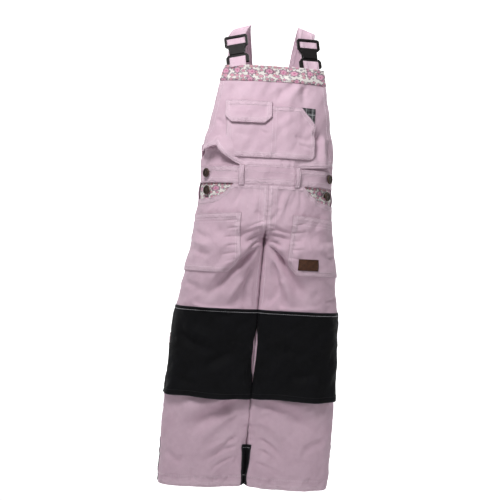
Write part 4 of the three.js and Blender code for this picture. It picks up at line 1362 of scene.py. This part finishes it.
def build_thigh_pocket(side, word):
    bottom = broken((
        (THIGH_INNER, THIGH_BOTTOM - THIGH_CHAMFER), (THIGH_INNER + THIGH_CHAMFER, THIGH_BOTTOM),
    ))
    reach = lambda share, drop: THIGH_INNER + (wide_at(drop) - 1.5 - THIGH_INNER) * share

    def lay(share, row, off):
        top = THIGH_TOP + 6 * share
        drop = top + (bottom(reach(share, THIGH_BOTTOM)) - top) * row
        return on_leg(side, FRONT, share_at(reach(share, drop), drop), drop, off)

    def stand(share, row):
        return ON_PANEL + THIGH_MOUTH * np.sin(share * np.pi) * (1 - row) ** 2

    top = patch_over(stand)
    columns = np.unique(np.concatenate([np.linspace(0, 0.18, 16), np.linspace(0.18, 1, 46)]))
    piece = shell(
        word + "_thigh_pocket_cloth", lay, columns, np.linspace(0, 1, 71), stand, top
    )
    settle(piece, word + "_thigh_pocket", "pink_twill")
    rows = np.linspace(0.01, 0.97, 110)
    shares = np.linspace(0.02, 0.98, 110)
    for inset in (0.024, 0.09):
        sew("pink", lay, inset, rows, top(inset, rows))
    for row in (0.975, 0.92, 0.105, 0.155):
        sew("pink", lay, shares, row, top(shares, row))


def build_label():
    half_wide, half_tall = LABEL_SIZE[0] / 2, LABEL_SIZE[1] / 2
    at = leg_at_x(1, FRONT)
    lift = ON_PANEL + PATCH + 0.3
    piece = shell(
        "leather_label_patch", at, steps(LABEL_X - half_wide, LABEL_X + half_wide, 1.4),
        steps(LABEL_DROP - half_tall, LABEL_DROP + half_tall, 1.2), lift, lift + 1.3,
    )
    settle(piece, "leather_label", "brown_leather")
    inset, top = 1.7, lift + 1.3
    xs = np.linspace(LABEL_X - half_wide + inset, LABEL_X + half_wide - inset, 40)
    drops = np.linspace(LABEL_DROP - half_tall + inset, LABEL_DROP + half_tall - inset, 30)
    for drop in (drops[0], drops[-1]):
        sew("brown", at, xs, drop, top)
    for x in (xs[0], xs[-1]):
        sew("brown", at, x, drops, top)


def build_knee_patch(side, word):
    wave = lambda share: 2.4 * np.sin(share * 9 + side) + 1.4 * np.sin(share * 21 + 2 * side)

    def stand(share, row):
        middle = np.sin(np.clip(share, 0, 1) * np.pi)
        return ON_CLOTH + (KNEE_FLARE + wave(share)) * middle * row**3 + 1.2 * middle * row

    def lay(share, row, off):
        inner = 0.03 + KNEE_LENS * np.sin(np.clip(row, 0, 1) ** 1.15 * np.pi) ** 0.9
        share = share + (inner - KNEE_SHARES[0]) * (KNEE_SHARES[1] - share)
        low = KNEE_BOTTOM + 3.5 * np.sin(np.clip(share, 0, 1) * np.pi) + 0.5 * wave(share)
        return on_leg(side, FRONT, share, KNEE_TOP + (low - KNEE_TOP) * row, off)

    top = patch_over(stand)
    columns = np.linspace(*KNEE_SHARES, 91)
    piece = shell(
        word + "_knee_patch_canvas", lay, columns, np.linspace(0, 1, 101), stand, top, sewn="tb"
    )
    settle(piece, word + "_knee_patch", "black_canvas")
    shares = np.linspace(0.075, 0.97, 150)
    tall = KNEE_BOTTOM - KNEE_TOP
    for run, row in (("grey_line", 5.5 / tall), ("black", 1 - 9 / tall)):
        sew(run, lay, shares, row, top(shares, row))


def build_heel_panel(side, word):
    def lay(share, row, off):
        drop = HEEL_TOP + (hem_at(np.abs(share)) - 1.5 - HEEL_TOP) * row
        behind = on_leg(side, BACK, np.abs(share), drop, off)
        before = on_leg(side, FRONT, np.abs(share), drop, off)
        return np.where((share < 0)[..., None], before, behind)

    wrap = -HEEL_WRAP * np.linspace(1, 0, 15) ** 1.4
    columns = np.concatenate([wrap, np.linspace(0, 1, 80)[1:] ** 1.15 * TO_SEAM])
    rows = np.linspace(0, 1, 52)
    piece = shell(word + "_heel_panel_canvas", lay, columns, rows, ON_CLOTH, ON_CLOTH + PATCH)
    settle(piece, word + "_heel_panel", "black_canvas")
    line = np.concatenate([wrap[1:], np.linspace(0.002, 0.98, 160)])
    tall = HEM - HEEL_TOP
    for inset in (6 / tall, 1 - 20 / tall):
        sew("grey_line", lay, line, inset + 0 * line, ON_CLOTH + PATCH)


def build_seat_pocket(side, word):
    (inner, outer), (mouth, low) = SEAT_REACH, SEAT_DROPS
    tall = low - mouth
    point = broken((
        (inner, low - SEAT_POINT), ((inner + outer) / 2, low), (outer, low - SEAT_POINT),
    ))
    at = leg_at_x(side, BACK)

    def lay(x, row, off):
        return at(x, mouth + (point(x) - mouth) * row, off)

    def stand(x, row):
        return ON_PANEL + 1.6 * np.sin((x - inner) / (outer - inner) * np.pi) * (1 - row) ** 2

    top = patch_over(stand)
    piece = shell(
        word + "_seat_pocket_cloth", lay, steps(*SEAT_REACH, 1.7), np.linspace(0, 1, 53),
        stand, top,
    )
    settle(piece, word + "_seat_pocket", "pink_twill")
    xs = np.linspace(inner + EDGE_ROW, outer - EDGE_ROW, 90)
    rows = np.linspace(0.02, 0.975, 90)
    for inset in (EDGE_ROW, SECOND_ROW):
        for x in (inner + inset, outer - inset):
            sew("pink", lay, x, rows, top(x, rows))
        sew("pink", lay, xs, 1 - inset / tall, top(xs, 1 - inset / tall))
    for drop in (13, 15.5):
        sew("pink", lay, xs, drop / tall, top(xs, drop / tall))


def build_tool_pocket():
    at = flat_sheet(-1, BACK)
    shares = np.linspace(*TOOL_SHARES, 36)
    piece = shell(
        "tool_pocket_cloth", at, shares, steps(TOOL_DROPS[0] + 1, TOOL_DROPS[1], 1.8),
        ON_CLOTH, ON_CLOTH + PATCH,
    )
    settle(piece, "tool_pocket", "pink_twill")
    lift = ON_CLOTH + PATCH + 0.25
    piece = shell(
        "tool_pocket_trim_cloth", at, shares, steps(TOOL_DROPS[0], TOOL_DROPS[0] + TOOL_TRIM, 1.8),
        lift, lift + PATCH,
    )
    settle(piece, "tool_pocket_trim", "floral_cotton")
    line = np.linspace(TOOL_SHARES[0] + 0.006, TOOL_SHARES[1] - 0.006, 60)
    for drop in (TOOL_DROPS[0] + EDGE_ROW, TOOL_DROPS[0] + TOOL_TRIM - 2):
        sew("grey", at, line, drop, lift + PATCH)
    downs = np.linspace(TOOL_DROPS[0] + TOOL_TRIM + 3, TOOL_DROPS[1] - 3, 60)
    for share in (TOOL_SHARES[0] + 0.012, TOOL_SHARES[0] + 0.045, TOOL_SHARES[1] - 0.02):
        sew("pink", at, share, downs, ON_CLOTH + PATCH)
    for inset in (EDGE_ROW, 7.5):
        sew("pink", at, line, TOOL_DROPS[1] - inset, ON_CLOTH + PATCH)


# =====================================================================================
# Straps, buckles and buttons
# =====================================================================================
def buckle_matrix(word):
    """The buckle's place: its columns point across, up the strap and out from the chest."""
    x, y, z, lean = BUCKLES[word]
    side = -1 if word == "right" else 1
    turned = (
        Matrix.Rotation(math.radians(side * BUCKLE_YAW), 4, "Z")
        @ Matrix.Rotation(math.radians(90 - BUCKLE_SLOPE), 4, "X")
        @ Matrix.Rotation(math.radians(lean), 4, "Z")
    )
    return Matrix.Translation((x, y, z)) @ turned


def curve_points(corners, count):
    """A smooth line through corners, evenly spaced."""
    gone = gone_along(corners[:, :3])
    places = np.linspace(0, gone[-1], count)
    return np.stack([curve_through(gone, column)(places) for column in corners.T], axis=-1)


def ribbon(name, middle, across, half, thick, crown=0.0, faces_front=False):
    """A band of webbing: middle and across are rows of points and directions, in millimetres."""
    across = across / np.linalg.norm(across, axis=-1, keepdims=True)
    out = np.cross(np.gradient(middle, axis=0), across)
    out /= np.linalg.norm(out, axis=-1, keepdims=True)
    if faces_front and out[len(out) // 2][1] > 0:
        out = -out
    index = np.arange(len(middle))

    def lay(column, row, off):
        centre, sideways, outward = (read_between(row, index, r) for r in (middle, across, out))
        height = off + crown * (1 - column**2) * np.sign(off - thick / 2)
        return (centre + column[..., None] * half * sideways + outward * height[..., None]) * MM

    return shell(name, lay, np.linspace(-1, 1, 15), index, 0.0, thick, "lr"), lay


def build_strap(side, word):
    tilt = math.radians(CREST_TILT)
    flat = np.array([1, 0, 0])
    shoulder = np.array([math.cos(tilt), 0, -side * math.sin(tilt)])
    buckle = buckle_matrix(word)
    across = np.array(buckle.to_3x3() @ Vector((1, 0, 0)))
    in_buckle = lambda v, w: np.array(buckle @ Vector((0, v, w)))
    crest = np.array([side * CREST_X, -20, -4])
    rows = [
        ((side * 42, 70, -150), flat),
        ((side * 43.5, 68, -126), flat),
        ((side * 48, 63, -92), flat),
        ((side * 53, 54, -56), flat),
        ((side * 57, 41, -27), (flat + shoulder) / 2),
        ((side * 60, 26, -8), shoulder),
        ((side * CREST_X, CREST_HALF_FLAT, 0), shoulder),
        ((side * CREST_X, -CREST_HALF_FLAT, 0), shoulder),
        ((in_buckle(FRAME_TOP + 12, STRAP_BEHIND) + crest) / 2, 0.6 * shoulder + 0.4 * across),
        (in_buckle(FRAME_TOP + 2, STRAP_BEHIND - 0.4), across),
        (in_buckle(FRAME_BOTTOM, STRAP_BEHIND), across),
        (in_buckle(2, STRAP_BEHIND) + np.array([side * 3, 0, 0]), across),
    ]
    for drop in TAIL_DROPS:
        turn = turn_at(side * float(TAIL_X), float(drop))
        angle = turn * np.pi / 2

        def tail(angle, drop=float(drop)):
            x = (wide_at(drop) + TAIL_OFF) * rounded(np.sin(angle))
            y = -(front_at(drop) + TAIL_OFF) * rounded(np.cos(angle))
            return np.array([x, y, -drop])

        rows.append((tail(angle), tail(angle + 0.03) - tail(angle)))
    corners = np.array([np.concatenate([m, np.asarray(a) / np.linalg.norm(a)]) for m, a in rows])
    line = curve_points(corners, 170)
    piece, lay = ribbon(
        word + "_shoulder_strap_webbing", line[:, :3], line[:, 3:], STRAP_WIDE / 2, STRAP_THICK,
        STRAP_CROWN, faces_front=True,
    )
    settle(piece, word + "_shoulder_strap", "pink_twill")
    places = np.linspace(1, len(line) - 2, 500)
    for column in (-0.87, 0.87, -0.62, 0.62):
        sew("pink", lay, column + 0 * places, places, STRAP_THICK)


def chaikin(points, rounds=3):
    """Cuts the corners of a line, keeping its ends."""
    points = np.asarray(points, float)
    for _ in range(rounds):
        early = points[:-1] * 0.75 + points[1:] * 0.25
        late = points[:-1] * 0.25 + points[1:] * 0.75
        inner = np.stack([early, late], axis=1).reshape(-1, points.shape[1])
        points = np.concatenate([points[:1], inner, points[-1:]])
    return points


def buckle_band(name, word, path, half, thick):
    """A band that runs through a buckle; its path is a list of v and w places."""
    buckle = buckle_matrix(word)
    middle = np.array([buckle @ Vector((0, v, w)) for v, w in chaikin(path)])
    across = np.tile(np.array(buckle.to_3x3() @ Vector((1, 0, 0))), (len(middle), 1))
    piece, _ = ribbon(name, middle, across, half, thick)
    return piece


def build_buckle(word):
    weave = buckle_band(word + "_strap_weave_webbing", word, WEB_PATH, WEB_HALF, WEB_THICK)
    settle(weave, word + "_strap_weave", "pink_twill", word + "_buckle_half")
    tab = buckle_band(word + "_bib_tab_cloth", word, TAB_PATH, TAB_HALF, TAB_THICK)
    settle(tab, word + "_bib_tab", "pink_twill")
    for part, radius in (
        ("buckle_socket", 0.8), ("buckle_plug", 0.8),
        ("inner_latch_arm", 0.5), ("outer_latch_arm", 0.5),
    ):
        mould(frame["nodes"][f"{word}_{part}"], radius)


def mould(node, radius):
    """Gives a CAD plastic piece rounded edges and its finish; its own mesh stays as it is."""
    flatten = node.modifiers.new("Flat faces", "DECIMATE")
    flatten.decimate_type = "DISSOLVE"
    flatten.angle_limit = math.radians(1)
    bevel = node.modifiers.new("Moulded edges", "BEVEL")
    bevel.width = radius * MM
    bevel.segments = 3
    bevel.limit_method = "ANGLE"
    bevel.angle_limit = math.radians(30)
    bevel.harden_normals = True
    node.data.materials.clear()
    node.data.materials.append(finish_of("black_plastic"))


def lathe(name, profile, centre, axis, sides=72):
    """A turned piece: profile is radius and height in millimetres, along an axis from a centre."""
    axis = Vector(axis).normalized()
    turn = Vector((0, 0, 1)).rotation_difference(axis).to_matrix()
    angles = np.linspace(0, 2 * np.pi, sides, endpoint=False)
    local = np.array([
        np.stack([radius * np.cos(angles), radius * np.sin(angles), height + 0 * angles], axis=-1)
        for radius, height in profile
    ])
    points = (local.reshape(-1, 3) @ np.array(turn).T) * MM + np.array(centre)
    count = len(profile)
    index = np.arange(count * sides).reshape(count, sides)
    after = np.roll(index, -1, axis=1)
    faces = np.stack([index[:-1], after[:-1], after[1:], index[1:]], axis=-1).reshape(-1, 4)
    return link_mesh(name, points, facing_out(points, faces))


def build_button(word, which):
    node = f"{word}_{which}_button"
    joint = joint_of(f"{word}_{which}_cap")
    seat = BUTTON_SEATS[which]
    rim, top = seat + 1.6, seat + 4.8
    r = CAP_RADIUS
    profile = [
        # the shank, from inside, and the underside
        (2.1, seat + 0.05), (3.7, seat), (4.0, seat + 0.3), (4.0, rim - 0.3), (4.3, rim),
        (r - 1.0, rim), (r - 0.3, rim + 0.3), (r, rim + 0.9),
        # the rounded edge and the stepped face
        (r, top - 1.2), (r - 0.3, top - 0.5), (r - 0.9, top - 0.1), (r - 1.6, top),
        (r - 2.2, top - 0.15), (r - 2.6, top - 0.6), (r - 3.0, top - 0.75), (r - 4.2, top - 0.65),
        (r - 4.5, top - 0.45), (r - 4.9, top - 0.45), (r - 5.2, top - 0.7), (1.6, top - 0.55),
        (0.01, top - 0.5), (0.01, top - 1.4), (2.1, top - 1.4), (2.1, seat + 0.05),
    ]
    cap = lathe(node + "_cap", profile, joint["pos_m"], joint["axis"])
    settle(cap, node, "dark_brass", f"{word}_{which}_cap")
    tack = frame["nodes"][node + "_tack"]
    tack.data.materials.clear()
    tack.data.materials.append(finish_of("dark_brass"))


# =====================================================================================
# Stage
# =====================================================================================
FLOOR_BELOW = 0.14  # the overalls hang this far above the floor
FLOOR_FRONT = -7.0
FLOOR_HALF = 8.0
SWEEP_START = 3.5  # where the floor turns up into the wall
SWEEP_STEPS = 12
WALL_TOP = 5.0
WALL_GLOW = 0.95
ROOM_LIGHT = 0.19
# Each lamp: place, target, size in metres and power in watts
LAMPS = (
    ("key_light", (-0.36, -0.82, 0.53), (0, 0, -0.12), 0.4, 12.6),
    ("fill_light", (1.2, -1.5, 0.1), (0, 0, -0.4), 1.2, 2.2),
    ("top_light", (0, 0.05, 0.75), (0, 0.03, -0.2), 0.5, 2.5),
    ("back_light", (0.4, 1.5, 0.7), (0, 0, -0.4), 1.0, 9),
)


def build_stage():
    profile = [(FLOOR_FRONT, 0.0), (0.0, 0.0), (SWEEP_START, 0.0)]
    for k in range(1, SWEEP_STEPS + 1):
        angle = k / SWEEP_STEPS * math.pi / 2
        profile.append((SWEEP_START + math.sin(angle), 1 - math.cos(angle)))
    profile.append((SWEEP_START + 1, WALL_TOP))
    floor_z = cad_box[0].z - FLOOR_BELOW
    points = [(x, y, z + floor_z) for y, z in profile for x in (-FLOOR_HALF, FLOOR_HALF)]
    faces = [(2 * k, 2 * k + 1, 2 * k + 3, 2 * k + 2) for k in range(len(profile) - 1)]
    floor = link_mesh("studio_floor", np.array(points), np.array(faces))
    f = Finish("Studio white", Specular_IOR_Level=0.1, Emission_Color=(1, 1, 1))
    place = f.node("ShaderNodeTexCoord").outputs["Object"]
    depth = f.node("ShaderNodeSeparateXYZ", Vector=place).outputs[1]
    behind = f.between(depth, 0.2, 0.7, 0.0, WALL_GLOW)
    f.feed(f.shader.inputs["Emission Strength"], behind)
    f.wear(f.mix(f.noise(place, 3, 2), (0.92, 0.92, 0.93), (0.95, 0.95, 0.95)), 0.9)
    floor.data.materials.append(f.material)

    world = bpy.data.worlds.new("Studio light")
    world.use_nodes = True
    world.node_tree.nodes["Background"].inputs[0].default_value = (1, 1, 1, 1)
    world.node_tree.nodes["Background"].inputs[1].default_value = ROOM_LIGHT
    bpy.context.scene.world = world
    for name, place, target, size, power in LAMPS:
        lamp = bpy.data.lights.new(name, "AREA")
        lamp.size, lamp.energy = size, power
        holder = bpy.data.objects.new(name, lamp)
        holder.location = place
        aim = Vector(target) - Vector(place)
        holder.rotation_euler = aim.to_track_quat("-Z", "Y").to_euler()
        bpy.context.scene.collection.objects.link(holder)
    bpy.context.scene.view_settings.view_transform = "Standard"


CAMERA_TARGET = (-0.0237, 0.0, -0.4198)
CAMERA_DISTANCE = 1.97
CAMERA_YAW = 2.9
CAMERA_ROLL = 3.09
CAMERA_VIEW = 27.15


def build_camera():
    data = bpy.data.cameras.new("camera")
    data.angle = math.radians(CAMERA_VIEW)
    data.clip_start, data.clip_end = 0.05, 20
    camera = bpy.data.objects.new("camera", data)
    yaw = math.radians(CAMERA_YAW)
    offset = Vector((-math.sin(yaw), -math.cos(yaw), 0)) * CAMERA_DISTANCE
    camera.location = Vector(CAMERA_TARGET) + offset
    aim = (-offset).to_track_quat("-Z", "Y").to_matrix().to_4x4()
    roll = Matrix.Rotation(math.radians(CAMERA_ROLL), 4, "Z")
    camera.rotation_euler = (aim @ roll).to_euler()
    bpy.context.scene.collection.objects.link(camera)
    bpy.context.scene.camera = camera


# =====================================================================================
# Settings, operators and panel
# =====================================================================================
def length(name, description, default):
    return bpy.props.FloatProperty(
        name=name, description=description, default=default,
        unit="LENGTH", subtype="DISTANCE", precision=5,
    )


def colour(name, description, red, green, blue):
    return bpy.props.FloatVectorProperty(
        name=name, description=description, default=linear(red, green, blue), size=3,
        subtype="COLOR", min=0, max=1,
    )


class OverallsSizes(bpy.types.PropertyGroup):
    """Sizes that set how the cloth and stitching look"""

    fold_scale: bpy.props.FloatProperty(
        name="Fold height", description="How deep the folds are", default=1.5, min=0, max=2,
    )
    stitch_pitch: length("Stitch pitch", "Distance from one stitch to the next", 0.0034)
    stitch_length: length("Stitch length", "Length of the thread seen in one stitch", 0.0028)
    thread_radius: length("Thread radius", "Radius of the sewing thread", 0.00042)


class OverallsColours(bpy.types.PropertyGroup):
    """Colours of the fabrics and trims"""

    twill_light: colour("Twill", "The pink twill where it is lightest", 215, 188, 202)
    twill_dark: colour("Twill shade", "The pink twill where it is darkest", 199, 169, 185)
    twill_worn: colour("Twill wear", "The pink twill where seams have faded", 232, 212, 222)
    # Colour of the painted shade in the seam grooves of the twill.
    twill_seam_shade: colour("Twill seams", "The pink twill in its seams", 150, 116, 134)
    floral_ground: colour("Print ground", "Ground of the flowered cotton", 230, 224, 220)
    floral_pink: colour("Print pink", "Light petals of the flowered cotton", 214, 120, 168)
    floral_deep: colour("Print deep pink", "Dark petals of the flowered cotton", 184, 76, 134)
    floral_coral: colour("Print coral", "Small petals of the flowered cotton", 202, 116, 130)
    floral_leaf: colour("Print leaf", "Leaves of the flowered cotton", 168, 166, 176)
    floral_outline: colour("Print outline", "Outlines of the flowered cotton", 96, 92, 104)
    plaid_dark: colour("Plaid dark", "Ground of the checked lining", 22, 21, 24)
    plaid_light: colour("Plaid light", "Lines of the checked lining", 216, 216, 220)
    canvas_dark: colour("Canvas shade", "The black canvas where it is darkest", 12, 12, 14)
    canvas_light: colour("Canvas", "The black canvas where it is lightest", 20, 20, 23)
    canvas_worn: colour("Canvas wear", "The black canvas where edges are scuffed", 92, 90, 94)
    plastic_dark: colour("Plastic shade", "The buckles where they are darkest", 20, 18, 19)
    plastic_light: colour("Plastic", "The buckles where they are lightest", 30, 27, 27)
    plastic_worn: colour("Plastic wear", "The buckles where edges are rubbed", 92, 87, 86)
    leather_dark: colour("Leather shade", "The label where it is darkest", 62, 37, 25)
    leather_light: colour("Leather", "The label where it is lightest", 88, 55, 37)
    brass_dark: colour("Brass shade", "The buttons in their recesses", 40, 31, 28)
    brass_light: colour("Brass", "The buttons where they are clean", 74, 59, 53)
    brass_worn: colour("Brass wear", "The buttons where edges are rubbed", 128, 106, 92)
    thread_pink: colour("Pink thread", "Topstitching on the twill", 243, 230, 238)
    thread_grey: colour("Grey thread", "Stitching on the canvas", 196, 196, 200)


class OVERALLS_OT_bib(bpy.types.Operator):
    """Build the bib, its top band and the cloth between the front belt loops"""

    bl_idname = "overalls.bib"
    bl_label = "Bib"

    def execute(self, context):
        build_bib()
        return {"FINISHED"}


class OVERALLS_OT_chest_pocket(bpy.types.Operator):
    """Build the chest pocket, its checked pen opening and its flap"""

    bl_idname = "overalls.chest_pocket"
    bl_label = "Chest pocket"

    def execute(self, context):
        build_chest_pocket()
        build_flap()
        return {"FINISHED"}


class OVERALLS_OT_back(bpy.types.Operator):
    """Build the back panel, the waistbands and the belt loops"""

    bl_idname = "overalls.back_and_waist"
    bl_label = "Back and waist"

    def execute(self, context):
        build_back()
        for side, word in SIDES:
            build_wing(side, word)
            build_front_waistband(side, word)
            build_loop(word + "_front_belt_loop", FRONT, side * FRONT_LOOP_X)
            build_loop(word + "_back_belt_loop", BACK, side * BACK_LOOP_X)
        build_loop("centre_back_belt_loop", BACK, 0)
        return {"FINISHED"}


class OVERALLS_OT_legs(bpy.types.Operator):
    """Build the trouser panels and the hand pockets inside them"""

    bl_idname = "overalls.legs"
    bl_label = "Trouser legs"

    def execute(self, context):
        for side, word in SIDES:
            build_trouser_half(side, word)
        return {"FINISHED"}


class OVERALLS_OT_patches(bpy.types.Operator):
    """Build the knee patches and heel panels of black canvas"""

    bl_idname = "overalls.patches"
    bl_label = "Knee and heel patches"

    def execute(self, context):
        for side, word in SIDES:
            build_knee_patch(side, word)
            build_heel_panel(side, word)
        return {"FINISHED"}


class OVERALLS_OT_pockets(bpy.types.Operator):
    """Build the thigh, seat and tool pockets and the leather label"""

    bl_idname = "overalls.pockets"
    bl_label = "Trouser pockets"

    def execute(self, context):
        for side, word in SIDES:
            build_thigh_pocket(side, word)
            build_seat_pocket(side, word)
        build_tool_pocket()
        build_label()
        return {"FINISHED"}


class OVERALLS_OT_straps(bpy.types.Operator):
    """Build the shoulder straps, the webbing in the buckles and the buckles"""

    bl_idname = "overalls.straps"
    bl_label = "Straps and buckles"

    def execute(self, context):
        for side, word in SIDES:
            build_strap(side, word)
            build_buckle(word)
        return {"FINISHED"}


class OVERALLS_OT_buttons(bpy.types.Operator):
    """Build the four waist buttons"""

    bl_idname = "overalls.buttons"
    bl_label = "Buttons"

    def execute(self, context):
        for _, word in SIDES:
            for which in BUTTON_SEATS:
                build_button(word, which)
        return {"FINISHED"}


class OVERALLS_OT_stitching(bpy.types.Operator):
    """Sew every run of stitches that the pieces have asked for"""

    bl_idname = "overalls.stitching"
    bl_label = "Stitching"

    def execute(self, context):
        threads = (
            ("pink", "pink_topstitching", "pink_thread", "pink_twill", 1.0),
            ("grey", "trim_topstitching", "grey_thread", "floral_cotton", 0.8),
            ("grey_line", "patch_topstitching", "grey_thread", "black_canvas", 1.5),
            ("black", "patch_hem_stitching", "black_canvas", "black_canvas", 1.0),
            ("brown", "label_stitching", "brown_thread", "brown_leather", 0.8),
        )
        for run, name, material, slot_name, heft in threads:
            piece = sew_threads(name, thread_runs.pop(run), material, heft)
            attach(piece, "root")
        return {"FINISHED"}


class OVERALLS_OT_stage(bpy.types.Operator):
    """Set up the floor, the lights and the camera"""

    bl_idname = "overalls.stage"
    bl_label = "Stage"

    def execute(self, context):
        build_camera()
        build_stage()
        return {"FINISHED"}


STEPS = (
    OVERALLS_OT_stage,
    OVERALLS_OT_bib,
    OVERALLS_OT_chest_pocket,
    OVERALLS_OT_back,
    OVERALLS_OT_legs,
    OVERALLS_OT_patches,
    OVERALLS_OT_pockets,
    OVERALLS_OT_straps,
    OVERALLS_OT_buttons,
    OVERALLS_OT_stitching,
)


class OVERALLS_PT_panel(bpy.types.Panel):
    """Lists the steps that build the overalls"""

    bl_idname = "OVERALLS_PT_panel"
    bl_label = "Bib Overalls"
    bl_space_type = "VIEW_3D"
    bl_region_type = "UI"
    bl_category = "Overalls"

    def draw(self, context):
        for settings in (context.scene.overalls_sizes, context.scene.overalls_colours):
            box = self.layout.box()
            for key in settings.__annotations__:
                box.prop(settings, key)
        for step in STEPS:
            self.layout.operator(step.bl_idname)


CLASSES = (OverallsSizes, OverallsColours, *STEPS, OVERALLS_PT_panel)


def register():
    for cls in CLASSES:
        bpy.utils.register_class(cls)
    bpy.types.Scene.overalls_sizes = bpy.props.PointerProperty(type=OverallsSizes)
    bpy.types.Scene.overalls_colours = bpy.props.PointerProperty(type=OverallsColours)


def unregister():
    del bpy.types.Scene.overalls_colours
    del bpy.types.Scene.overalls_sizes
    for cls in reversed(CLASSES):
        bpy.utils.unregister_class(cls)


def main():
    register()
    for step in STEPS:
        group, name = step.bl_idname.split(".")
        getattr(getattr(bpy.ops, group), name)()


if __name__ == "__main__":
    main()
